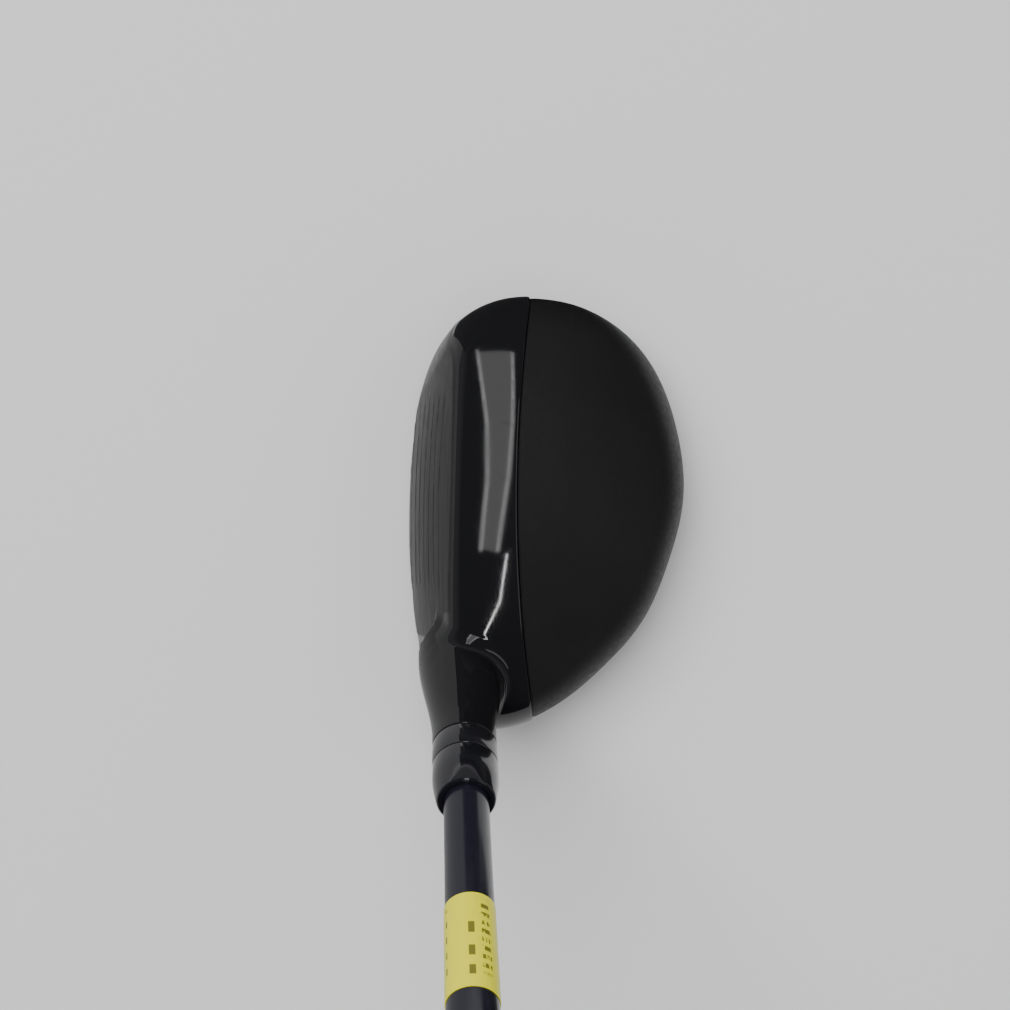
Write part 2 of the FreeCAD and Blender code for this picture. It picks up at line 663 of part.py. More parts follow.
def main():
    os.makedirs("parts", exist_ok=True)
    outer = faced_form()
    cavity = head_form(SHELL)
    panel_top = head_form(PANEL_STEP)
    panel_under = head_form(PANEL_STEP + PANEL_THICKNESS)
    ledge_top = head_form(LEDGE_DEPTH)
    ledge_under = head_form(LEDGE_DEPTH + LEDGE_THICKNESS)

    save("head_body", head_body(outer, cavity, ledge_top, ledge_under))
    save("face_insert", face_insert(outer))
    save("crown_panel", crown_panel(panel_top, panel_under))
    save("crown_adhesive", crown_adhesive(panel_under, ledge_top))
    save("inner_weight", inner_weight(cavity))
    save("sole_badge", sole_badge())
    save("adjusting_ring", adjusting_ring())
    save("sleeve", sleeve())
    save("shaft_epoxy", shaft_epoxy())
    save("ferrule", ferrule())
    save("shaft", golf_shaft())
    save("tip_plug", tip_plug())
    save("price_sticker", price_sticker())
    save("grip_tape", grip_tape())
    save("grip", grip())
    save("grip_cap", grip_cap())
    save("screw_washer", screw_washer())
    save("hosel_screw", hosel_screw())
    save("weight_washer", weight_washer())
    save("sole_weight", sole_weight())


main()
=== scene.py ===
import json
import math

import bmesh
import bpy
import numpy as np
from mathutils import Matrix, Vector


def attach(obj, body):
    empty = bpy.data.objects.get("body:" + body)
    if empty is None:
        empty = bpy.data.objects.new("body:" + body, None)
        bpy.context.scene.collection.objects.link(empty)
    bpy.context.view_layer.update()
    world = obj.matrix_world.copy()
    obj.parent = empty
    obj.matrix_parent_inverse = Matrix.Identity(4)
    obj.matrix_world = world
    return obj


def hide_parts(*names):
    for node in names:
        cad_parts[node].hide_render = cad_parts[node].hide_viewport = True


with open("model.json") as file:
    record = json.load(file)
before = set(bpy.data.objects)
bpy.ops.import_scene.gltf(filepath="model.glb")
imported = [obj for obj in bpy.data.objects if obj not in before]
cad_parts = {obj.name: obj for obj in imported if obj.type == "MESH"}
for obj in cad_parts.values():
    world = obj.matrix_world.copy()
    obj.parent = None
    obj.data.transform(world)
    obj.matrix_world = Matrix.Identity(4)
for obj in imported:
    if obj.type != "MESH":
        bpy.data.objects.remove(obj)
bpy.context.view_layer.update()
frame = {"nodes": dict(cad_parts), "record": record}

# Hybrid golf club.  Sizes are in millimetres and degrees; finished meshes are in metres.
MM = 0.001

# ---- head ----
OUTLINE = [
    (0.12, 1.00), (0.531, 0.915), (0.808, 0.70), (0.955, 0.408), (1.00, 0.10),
    (0.94, -0.182), (0.808, -0.449), (0.559, -0.707), (0.277, -0.895), (-0.016, -1.00),
    (-0.375, -0.981), (-0.703, -0.822), (-0.922, -0.535), (-1.00, -0.096), (-0.89, 0.364),
    (-0.625, 0.654), (-0.391, 0.868), (-0.14, 0.957),
]
BACK_REACH = 42.2
FRONT_REACH = 32.0
TOE_REACH = 49.4
HEEL_REACH = 52.3
OUTLINE_MIDDLE = (4.0, -1.0)
OUTLINE_WAVES = 7
CROWN_TOP = (-3.0, 1.0, 37.5)
DOME_SPREAD = (1.336 * BACK_REACH, 1.315 * TOE_REACH)
DOME_DEPTH = 38.0
HEEL_LIFT = 5.0
SOLE_RADII = (113.0, 127.0)
SOLE_LOW_X = -4.0
SOLE_DIP = 0.35
CROWN_EDGE = 7.5
SOLE_EDGE = 4.5
FACE_EDGE = 2.8
PAD_EDGE = 0.3
LOFT = 17.0
FACE_POINT = (-20.0, -6.0, 17.0)
FACE_RADIUS = 300.0
SATIN_EDGE = -0.3
SATIN_SIDE = -2.7
SATIN_CROWN = (31.0, 32.5)
SATIN_CROWN_FALL = 0.0055
SATIN_HEEL = -24.0
SATIN_FALL = 0.36
SATIN_FADE = (26.0, 44.0)
CUP_DEPTH = 2.8
CUP_HEEL = -31.0
CUP_WALL = 1.2
SEAM = ((6.2, 56.25), (0.9, -6.0), (6.6, -56.25))
PARTING = 13.5
PANEL_GAP = 0.12
HOLLOW_WALL = 2.8
SOLE_WALL = 1.02
FACE_WALL = 2.8
HOLLOW_EDGE = 3.0
HOLLOW_HEIGHT = 15.0
HOLLOW_BLANK = (30.0, 42.0, 11.0)
HOSEL_TUBE = 9.0
BOSS_RADIUS = 6.9
PANEL_STEP = 0.5
PANEL_WALL = 1.1
POCKET_DEPTH = 1.8
SKIRT_STEP = 0.12
STEP_FADE = 14.0
BOND_INSET = 1.2
BOND_WIDTH = 4.2
BOND_GAP = 0.02
BOND_WALL = 0.1
EDGE_ROLL = 0.8
EDGE_DROP = 0.18
GROOVES = 7
GROOVE_PITCH = 3.6
GROOVE_HALF = 0.4
GROOVE_DEPTH = 0.07
GROOVE_SPAN = (-20.0, 26.0)

# ---- hosel ----
HOSEL_TOP = 58.0
HOSEL_RADIUS = 7.0
FLARE_TOP = 55.0
FLARE_LENGTH = 28.0
FLARE_FOOT = 24.0
FLARE_SPREAD = 3.0
HOSEL_ROUND = 0.3
BLEND_HEEL = 2.5
BLEND_CROWN = 2.4
BORE_RADIUS = 5.6
SEAT_TOP = 20.0
SEAT_BOTTOM = 17.0
SEAT_HOLE = 2.8
PORT_RADIUS = 5.2
SLOT_RADIUS = 6.1
SLOT_WIDTH = 2.0
SLOT_START = 49.0
SLOTS = 8

# ---- along the shaft ----
RING = (58.12, 64.32)
FERRULE = (64.44, 75.04)
FERRULE_STRAIGHT = 4.2
FERRULE_END = 6.15
FERRULE_CHAMFER = 0.3
SHAFT = (35.0, 95.0, 785.0, 1016.0)
TIP_RADIUS = 4.7
BUTT_RADIUS = 7.6
TIP_WALL = 1.6
BUTT_WALL = 1.0
LABEL = (105.24, 127.74)
LABEL_WALL = 0.15
LABEL_WRAP = 352.0
LABEL_JOIN = -86.0
GRIP = (755.0, 1018.0)
GRIP_MOUTH = 9.4
GRIP_BUTT = 13.2
GRIP_BORE = 7.8
CAP_TOP = 1022.0
CAP_RADIUS = 14.2
VENT_RADIUS = 1.6

# ---- sole fittings ----
WEIGHT_AT = (25.0, 0.0)
WEIGHT_SINK = 0.6
WEIGHT_RADIUS = 7.0
WEIGHT_HEAD = 3.0
WEIGHT_THREAD = (5.4, 8.5)
BADGE_AT = (8.0, 27.0)
BADGE_SINK = 0.5
BADGE_RADIUS = 8.0
BADGE_WALL = 0.6

# ---- studio, in metres and watts a square metre; the camera in millimetres ----
ROOM_WALL = 0.27
ROOM_DARK = 0.05
ROOM_HANDS = 0.01
ROOM_LIGHT = 0.6
SOFTBOX = 47.0
STRIP_GLOW = 10.5
PANEL_SHARE = 0.52
STRIP_WIDTH = 0.042
PANEL_PARTS = 4
CEILING = 1.5
THIN_SHARE = 16.0
SIDE_GLOW = 4.0
CAMERA_AT = (-19.35, 0, 382.0)
CAMERA_TILT = 2.9
CAMERA_LENS = 55.25

record = frame["record"]
MOUNTS = {mount["name"]: mount for mount in record["mounts"]}
SHAFT_WAY = Vector(MOUNTS["butt_vent"]["axis"]).normalized()
SHAFT_FOOT = Vector(MOUNTS["butt_vent"]["pos_m"]) / MM
SHAFT_FOOT -= SHAFT_WAY * (SHAFT_FOOT.z / SHAFT_WAY.z)
SHAFT_SIDE = Vector((1, 0, 0))
SHAFT_OVER = SHAFT_WAY.cross(SHAFT_SIDE)


# ---------------------------------------------------------------- head surface

def outline_series():
    """Waves that give the outline's radius at any angle about its middle."""
    angles = []
    radii = []
    for share_x, share_y in OUTLINE:
        x = share_x * (BACK_REACH if share_x > 0 else FRONT_REACH) - OUTLINE_MIDDLE[0]
        y = share_y * (TOE_REACH if share_y > 0 else HEEL_REACH) - OUTLINE_MIDDLE[1]
        angles.append(math.atan2(y, x))
        radii.append(math.hypot(x, y))
    angles = np.array(angles)
    columns = [np.ones_like(angles)]
    for wave in range(1, OUTLINE_WAVES + 1):
        columns.append(np.cos(wave * angles))
        columns.append(np.sin(wave * angles))
    return np.linalg.lstsq(np.stack(columns, axis=1), np.array(radii), rcond=None)[0]


SERIES = outline_series()


def side_field(p):
    """Distance outside the head's outline, seen from above."""
    x = p[:, 0] - OUTLINE_MIDDLE[0]
    y = p[:, 1] - OUTLINE_MIDDLE[1]
    angle = np.arctan2(y, x)
    radius = np.full(len(p), SERIES[0])
    slope = np.zeros(len(p))
    for wave in range(1, OUTLINE_WAVES + 1):
        even, odd = SERIES[2 * wave - 1], SERIES[2 * wave]
        cosine, sine = np.cos(wave * angle), np.sin(wave * angle)
        radius += even * cosine + odd * sine
        slope += wave * (odd * cosine - even * sine)
    return (np.hypot(x, y) - radius) / np.sqrt(1 + (slope / radius) ** 2)


def crown_field(p):
    """Distance above the crown."""
    x = (p[:, 0] - CROWN_TOP[0]) / DOME_SPREAD[0]
    y = (p[:, 1] - CROWN_TOP[1]) / DOME_SPREAD[1]
    reach = x ** 2 + y ** 2
    heel = np.maximum(-p[:, 1], 0) / HEEL_REACH
    height = CROWN_TOP[2] - DOME_DEPTH * (reach / 2 + reach ** 2 / 8 + reach ** 3 / 11)
    height += HEEL_LIFT * heel ** 3
    steep = DOME_DEPTH * (0.5 + reach / 4 + 3 * reach ** 2 / 11)
    slope_x = -steep * 2 * x / DOME_SPREAD[0]
    slope_y = -steep * 2 * y / DOME_SPREAD[1] - 3 * HEEL_LIFT * heel ** 2 / HEEL_REACH
    return (p[:, 2] - height) / np.sqrt(1 + slope_x ** 2 + slope_y ** 2)


def sole_field(p):
    """Distance below the curved sole."""
    x = (p[:, 0] - SOLE_LOW_X) / SOLE_RADII[0]
    y = p[:, 1] / SOLE_RADII[1]
    height = x ** 2 * SOLE_RADII[0] / 2 + y ** 2 * SOLE_RADII[1] / 2 - SOLE_DIP
    return (height - p[:, 2]) / np.sqrt(1 + x ** 2 + y ** 2)


FACE_OUT = np.array([-math.cos(math.radians(LOFT)), 0, math.sin(math.radians(LOFT))])
FACE_CENTRE = np.array(FACE_POINT) - FACE_OUT * FACE_RADIUS


def face_field(p):
    """Distance in front of the bulged face."""
    return np.linalg.norm(p - FACE_CENTRE, axis=1) - FACE_RADIUS


def round_cut(a, b, radius):
    """Both fields at once, with the edge between them rounded."""
    corner = np.hypot(np.maximum(a + radius, 0), np.maximum(b + radius, 0))
    return np.minimum(np.maximum(a, b), -radius) + corner


def round_join(a, b, radius):
    """Either field, with the corner between them filled."""
    corner = np.hypot(np.maximum(radius - a, 0), np.maximum(radius - b, 0))
    return np.maximum(np.minimum(a, b), radius) - corner


def shaft_places(p):
    """Length along the shaft axis, distance from it, and offset to the toe side."""
    local = p - np.array(SHAFT_FOOT)
    along = local @ np.array(SHAFT_WAY)
    over = local @ np.array(SHAFT_OVER)
    side = local @ np.array(SHAFT_SIDE)
    return along, np.hypot(over, side), over


def smooth_share(value):
    """0 to 1 with level ends."""
    value = np.clip(value, 0, 1)
    return value * value * (3 - 2 * value)


def hosel_field(p):
    """Distance outside the flared hosel."""
    along, out, _ = shaft_places(p)
    flare = FLARE_SPREAD * smooth_share((FLARE_TOP - along) / FLARE_LENGTH)
    return np.maximum(out - HOSEL_RADIUS - flare, FLARE_FOOT - along)


def head_field(p):
    """Distance outside the head without its hosel."""
    field = round_cut(crown_field(p), side_field(p), CROWN_EDGE)
    field = round_cut(field, sole_field(p), SOLE_EDGE)
    field = round_cut(field, face_field(p), FACE_EDGE)
    return round_cut(field, -p[:, 2], PAD_EDGE)


def skin_field(p):
    """Distance outside the whole head, hosel blended in."""
    _, _, over = shaft_places(p)
    blend = BLEND_HEEL + (BLEND_CROWN - BLEND_HEEL) * smooth_share((over + 4) / 12)
    return round_join(head_field(p), hosel_field(p), blend)


def cavity_field(p):
    """Distance outside the hollow of the head."""
    field = round_cut(crown_field(p) + HOLLOW_WALL, side_field(p) + HOLLOW_WALL, HOLLOW_EDGE)
    field = round_cut(field, sole_field(p) + SOLE_WALL, HOLLOW_EDGE)
    return round_cut(field, face_field(p) + FACE_WALL, HOLLOW_EDGE)


def seam_arc():
    """Centre and radius of the seam's arc in plan."""
    (ax, ay), (bx, by), (cx, cy) = SEAM
    d = 2 * (ax * (by - cy) + bx * (cy - ay) + cx * (ay - by))
    a2, b2, c2 = ax * ax + ay * ay, bx * bx + by * by, cx * cx + cy * cy
    x = (a2 * (by - cy) + b2 * (cy - ay) + c2 * (ay - by)) / d
    y = (a2 * (cx - bx) + b2 * (ax - cx) + c2 * (bx - ax)) / d
    return x, y, math.hypot(ax - x, ay - y)


SEAM_ARC = seam_arc()


def behind_seam(p):
    """Distance behind the seam."""
    return SEAM_ARC[2] - np.hypot(p[:, 0] - SEAM_ARC[0], p[:, 1] - SEAM_ARC[1])


def panel_place(p):
    """How far a point lies inside the crown panel's outline; negative outside it."""
    return np.minimum(behind_seam(p), p[:, 2] - PARTING)


def cup_place(p):
    """How far a point lies inside the face cup; negative outside it."""
    return np.minimum(face_field(p) + CUP_DEPTH, p[:, 1] - CUP_HEEL)


def groove_place(p):
    """Distance from the nearest groove's middle line, and how far it has faded at its ends."""
    up = np.cross(np.array([0.0, 1.0, 0.0]), FACE_OUT)
    height = (p - np.array(FACE_POINT)) @ up
    line = np.clip(np.round(height / GROOVE_PITCH), -(GROOVES // 2), GROOVES // 2)
    middle = (GROOVE_SPAN[0] + GROOVE_SPAN[1]) / 2
    half = (GROOVE_SPAN[1] - GROOVE_SPAN[0]) / 2
    fade = smooth_share((half - np.abs(p[:, 1] - middle)) / 2.0)
    return np.abs(height - line * GROOVE_PITCH), fade


def edge_roll(inside):
    """Drop of a surface that rolls over towards an edge at inside = 0."""
    share = np.clip(1 - np.abs(inside) / EDGE_ROLL, 0, 1)
    return EDGE_DROP * share ** 2


def body_surface(p):
    """Polished body: the skin, rolled over at the crown panel's edge."""
    return skin_field(p) + edge_roll(np.minimum(panel_place(p), 0))


def panel_drop(p):
    """Step of the panel below the skin: full at the seam, nearly none round the back."""
    return PANEL_STEP + (SKIRT_STEP - PANEL_STEP) * smooth_share(behind_seam(p) / STEP_FADE)


def panel_surface(p):
    """Outside of the crown panel, a step below the skin, with rolled edges."""
    return skin_field(p) + panel_drop(p) + edge_roll(np.maximum(panel_place(p) - PANEL_GAP, 0))


def cup_surface(p):
    """Outside of the face cup, with its grooves."""
    away, fade = groove_place(p)
    depth = smooth_share((GROOVE_HALF - away) / 0.3) * fade
    on_face = smooth_share((face_field(p) + 0.6) / 0.5)
    return skin_field(p) + GROOVE_DEPTH * depth * on_face


def slope_of(field, p):
    """Unit outward direction of a field and its steepness."""
    step = 0.01
    parts = []
    for axis in range(3):
        shift = np.zeros(3)
        shift[axis] = step
        parts.append((field(p + shift) - field(p - shift)) / (2 * step))
    slope = np.stack(parts, axis=1)
    steep = np.linalg.norm(slope, axis=1)
    steep = np.maximum(steep, 0.2)
    return slope / steep[:, None], steep


def settle(verts, field, level=0.0, rounds=6):
    """Move vertices straight in or out until they lie on a level of a field."""
    if not verts:
        return
    points = np.array([vert.co for vert in verts])
    for _ in range(rounds):
        way, steep = slope_of(field, points)
        miss = np.clip((field(points) - level) / steep, -3, 3)
        points -= way * miss[:, None]
    for vert, point in zip(verts, points):
        vert.co = point


def mark_line(bm, place):
    """Cut edges and faces along the line where place is 0."""
    bm.verts.index_update()
    values = place(np.array([vert.co for vert in bm.verts]))
    on_line = [vert for vert in bm.verts if abs(values[vert.index]) < 1e-5]
    crossed = []
    for edge in bm.edges:
        first, last = (values[vert.index] for vert in edge.verts)
        if first * last < 0 and min(abs(first), abs(last)) >= 1e-5:
            crossed.append((edge, edge.verts[0], first / (first - last)))
    for edge, vert, share in crossed:
        on_line.append(bmesh.utils.edge_split(edge, vert, share)[1])
    bmesh.ops.connect_verts(bm, verts=on_line)


def faces_where(bm, test):
    """Faces whose middle passes a test on an array of points."""
    faces = list(bm.faces)
    passed = test(np.array([face.calc_center_median() for face in faces]))
    return [face for face, ok in zip(faces, passed) if ok]


def shaft_matrix():
    """Puts a shape made round Z onto the shaft axis."""
    turn = Matrix((SHAFT_SIDE, SHAFT_OVER, SHAFT_WAY)).transposed().to_4x4()
    return Matrix.Translation(SHAFT_FOOT) @ turn


def sole_matrix(at, sink):
    """Puts a shape made round Z onto the sole, Z pointing out of it."""
    x, y = at
    out = Vector(((x - SOLE_LOW_X) / SOLE_RADII[0], y / SOLE_RADII[1], -1)).normalized()
    height = (x - SOLE_LOW_X) ** 2 / (2 * SOLE_RADII[0]) + y ** 2 / (2 * SOLE_RADII[1])
    place = Vector((x, y, height - SOLE_DIP)) - out * sink
    return Matrix.Translation(place) @ Vector((0, 0, 1)).rotation_difference(out).to_matrix().to_4x4()


# ---------------------------------------------------------------- mesh helpers

def object_from(bm, name):
    """A linked object in metres from a mesh drawn in millimetres."""
    bmesh.ops.scale(bm, vec=(MM, MM, MM), verts=bm.verts)
    mesh = bpy.data.meshes.new(name)
    bm.to_mesh(mesh)
    bm.free()
    piece = bpy.data.objects.new(name, mesh)
    bpy.context.scene.collection.objects.link(piece)
    return piece


def baked(piece):
    """Replace a piece's mesh with what its modifiers make."""
    graph = bpy.context.evaluated_depsgraph_get()
    mesh = bpy.data.meshes.new_from_object(piece.evaluated_get(graph))
    old = piece.data
    piece.modifiers.clear()
    piece.data = mesh
    bpy.data.meshes.remove(old)
    mesh.name = piece.name
    return piece


def carved(piece, tools):
    """Cut closed tools out of a closed piece."""
    for tool in tools:
        cut = piece.modifiers.new("cut", "BOOLEAN")
        cut.operation = "DIFFERENCE"
        cut.solver = "MANIFOLD"
        cut.object = tool
    baked(piece)
    piece.data.materials.clear()
    for tool in tools:
        bpy.data.objects.remove(tool)
    return piece


def rod_mesh(radius, start, end, matrix, segments=96):
    """A plain closed cylinder."""
    bm = bmesh.new()
    bmesh.ops.create_cone(bm, cap_ends=True, segments=segments, radius1=radius, radius2=radius,
                          depth=end - start, matrix=Matrix.Translation((0, 0, (start + end) / 2)))
    bmesh.ops.transform(bm, matrix=matrix, verts=bm.verts)
    return bm


def rod_tool(radius, start, end, matrix, segments=96):
    """A cylinder to cut with."""
    return object_from(rod_mesh(radius, start, end, matrix, segments), "tool")


def hollow_tool():
    """The hollow inside the head, round the hosel tube and the weight boss."""
    bm = bmesh.new()
    middle = Matrix.Translation((*OUTLINE_MIDDLE, HOLLOW_HEIGHT))
    size = Matrix.Diagonal((*HOLLOW_BLANK, 1))
    bmesh.ops.create_uvsphere(bm, u_segments=64, v_segments=40, radius=1, matrix=middle @ size)
    settle(list(bm.verts), cavity_field, rounds=12)
    tube = rod_tool(HOSEL_TUBE, -10, HOSEL_TOP, shaft_matrix())
    boss = rod_tool(BOSS_RADIUS, -WEIGHT_HEAD - WEIGHT_THREAD[1] - 3, 5, sole_matrix(WEIGHT_AT, WEIGHT_SINK))
    return carved(object_from(bm, "tool"), [tube, boss])


def slot_tools(matrix, start, end):
    """Blades that cut the driving slots, one for each pair of opposite slots."""
    tools = []
    for turn in range(SLOTS // 2):
        bm = bmesh.new()
        bmesh.ops.create_cube(bm, size=1)
        bmesh.ops.scale(bm, vec=(2 * SLOT_RADIUS, SLOT_WIDTH, end - start), verts=bm.verts)
        bmesh.ops.translate(bm, vec=(0, 0, (start + end) / 2), verts=bm.verts)
        spin = Matrix.Rotation(2 * math.pi * turn / SLOTS, 4, "Z")
        bmesh.ops.transform(bm, matrix=matrix @ spin, verts=bm.verts)
        tools.append(object_from(bm, "tool"))
    return tools


def shaded(piece, angle=32.0):
    """Smooth shading that breaks at sharp edges."""
    piece.data.shade_smooth()
    piece.data.set_sharp_from_angle(angle=math.radians(angle))
    return piece


def skin_normals(piece, field):
    """Take the shading on a formed surface from the surface itself."""
    shaded(piece)
    mesh = piece.data
    spots = np.empty(len(mesh.vertices) * 3)
    mesh.vertices.foreach_get("co", spots)
    spots = spots.reshape(-1, 3) / MM
    corners = np.empty(len(mesh.loops) * 3)
    mesh.corner_normals.foreach_get("vector", corners)
    corners = corners.reshape(-1, 3)
    owner = np.empty(len(mesh.loops), dtype=int)
    mesh.loops.foreach_get("vertex_index", owner)
    flats = np.empty(len(mesh.polygons) * 3)
    mesh.polygon_normals.foreach_get("vector", flats)
    sizes = np.empty(len(mesh.polygons), dtype=int)
    mesh.polygons.foreach_get("loop_total", sizes)
    flats = np.repeat(flats.reshape(-1, 3), sizes, axis=0)
    way, _ = slope_of(field, spots)
    near = np.abs(field(spots)) < 0.02
    use = near[owner] & (np.sum(way[owner] * flats, axis=1) > 0.6)
    corners[use] = way[owner][use]
    mesh.normals_split_custom_set(corners)
    return piece


def lathe(profile, steps=96, edge=0.0, edge_steps=2, angle=360.0, start=0.0):
    """Spin a closed (radius, height) outline about Z; edge rounds its corners."""
    bm = bmesh.new()
    turn = Matrix.Rotation(math.radians(start), 4, "Z")
    verts = [bm.verts.new(turn @ Vector((radius, 0, height))) for radius, height in profile]
    edges = [bm.edges.new((verts[i - 1], verts[i])) for i in range(len(verts))]
    whole = angle >= 360.0
    if not whole:
        bm.faces.new(verts)
    bmesh.ops.spin(bm, geom=verts + edges + list(bm.faces), axis=(0, 0, 1), cent=(0, 0, 0),
                   angle=math.radians(angle), steps=steps, use_merge=whole)
    bmesh.ops.remove_doubles(bm, verts=bm.verts, dist=1e-4)
    bmesh.ops.delete(bm, geom=[e for e in bm.edges if not e.link_faces], context="EDGES")
    bmesh.ops.recalc_face_normals(bm, faces=bm.faces)
    if edge:
        sharp = [e for e in bm.edges if len(e.link_faces) == 2 and e.calc_face_angle() > 0.35]
        bmesh.ops.bevel(bm, geom=sharp, offset=edge, offset_type="OFFSET", segments=edge_steps,
                        profile=0.5, affect="EDGES", material=-1, clamp_overlap=True)
    return bm


def on_shaft(bm, name):
    """Finish a lathed piece on the shaft axis."""
    bmesh.ops.transform(bm, matrix=shaft_matrix(), verts=bm.verts)
    return shaded(object_from(bm, name))


def placed(piece, body, nodes, slot, *materials):
    """Give a piece its materials and its body, and hide the CAD nodes it stands for; the slot is not used."""
    for material in materials:
        piece.data.materials.append(material)
    if nodes:
        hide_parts(*nodes)
    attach(piece, body)
    return piece


# ---------------------------------------------------------------- materials

class Finish:
    """A small builder for procedural materials."""

    def __init__(self, name, colour, roughness, metallic=0.0, coat=0.0, coat_roughness=0.03,
                 specular=0.5):
        self.material = bpy.data.materials.new(name)
        self.material.use_nodes = True
        self.tree = self.material.node_tree
        self.shader = self.tree.nodes["Principled BSDF"]
        self.set("Base Color", (*colour, 1))
        self.set("Roughness", roughness)
        self.set("Metallic", metallic)
        self.set("Coat Weight", coat)
        self.set("Coat Roughness", coat_roughness)
        self.set("Specular IOR Level", specular)
        self.places = self.add("ShaderNodeTexCoord")

    def add(self, kind, **settings):
        """A new node with its settings."""
        node = self.tree.nodes.new(kind)
        for name, value in settings.items():
            setattr(node, name, value)
        return node

    def set(self, socket, value):
        """A value on the shader itself."""
        self.shader.inputs[socket].default_value = value

    def link(self, start, end):
        """Join two sockets."""
        self.tree.links.new(start, end)

    def mapped(self, scale, turn=(0, 0, 0), source="Object"):
        """Coordinates scaled and turned on the piece."""
        node = self.add("ShaderNodeMapping")
        node.inputs["Scale"].default_value = scale
        node.inputs["Rotation"].default_value = turn
        self.link(self.places.outputs[source], node.inputs["Vector"])
        return node.outputs["Vector"]

    def noise(self, vector, scale, detail=3.0, roughness=0.5):
        """Noise from 0 to 1; a bigger scale is finer."""
        node = self.add("ShaderNodeTexNoise")
        node.inputs["Scale"].default_value = scale
        node.inputs["Detail"].default_value = detail
        node.inputs["Roughness"].default_value = roughness
        self.link(vector, node.inputs["Vector"])
        return node.outputs["Fac"]

    def ranged(self, value, low, high, out_low, out_high):
        """A value moved from one range to another, held at its ends."""
        node = self.add("ShaderNodeMapRange")
        for socket, number in (("From Min", low), ("From Max", high),
                               ("To Min", out_low), ("To Max", out_high)):
            node.inputs[socket].default_value = number
        self.link(value, node.inputs["Value"])
        return node.outputs["Result"]

    def maths(self, operation, first, second=None):
        """One sum on numbers or sockets."""
        node = self.add("ShaderNodeMath", operation=operation)
        for socket, value in zip(node.inputs, (first, second)):
            if value is None:
                continue
            if isinstance(value, (int, float)):
                socket.default_value = value
            else:
                self.link(value, socket)
        return node.outputs["Value"]

    def colours(self, factor, first, second):
        """Mix two colours by a factor."""
        node = self.add("ShaderNodeMix", data_type="RGBA")
        self.link(factor, node.inputs["Factor"])
        sockets = [s for s in node.inputs if s.type == "RGBA"]
        for socket, colour in zip(sockets, (first, second)):
            if isinstance(colour, tuple):
                socket.default_value = (*colour, 1)
            else:
                self.link(colour, socket)
        return [s for s in node.outputs if s.type == "RGBA"][0]

    def bump(self, height, strength, distance):
        """Small relief, distance in metres."""
        node = self.add("ShaderNodeBump")
        node.inputs["Strength"].default_value = strength
        node.inputs["Distance"].default_value = distance
        self.link(height, node.inputs["Height"])
        self.link(node.outputs["Normal"], self.shader.inputs["Normal"])


def gloss_black(name="gloss_black", colour=(0.006, 0.006, 0.007)):
    """Deep black lacquer with the faintest ripple."""
    finish = Finish(name, colour, 0.12, coat=0.6, coat_roughness=0.02)
    spots = finish.mapped((1, 1, 1))
    finish.link(finish.ranged(finish.noise(spots, 90, 4), 0.35, 0.75, 0.09, 0.17),
                finish.shader.inputs["Roughness"])
    finish.bump(finish.noise(spots, 260, 2), 0.03, 0.0002)
    return finish.material


def matte_black():
    """Fine matte lacquer over the carbon crown."""
    finish = Finish("matte_black", (0.008, 0.008, 0.0085), 0.5, specular=0.28)
    spots = finish.mapped((1, 1, 1))
    cloud = finish.noise(spots, 30, 5)
    finish.link(finish.colours(finish.ranged(cloud, 0.3, 0.7, 0, 1), (0.0058, 0.0058, 0.0062),
                               (0.0085, 0.0085, 0.009)), finish.shader.inputs["Base Color"])
    finish.link(finish.ranged(finish.noise(spots, 900, 2), 0.3, 0.7, 0.44, 0.56),
                finish.shader.inputs["Roughness"])
    finish.bump(finish.noise(spots, 2600, 2, 0.6), 0.05, 0.0001)
    return finish.material


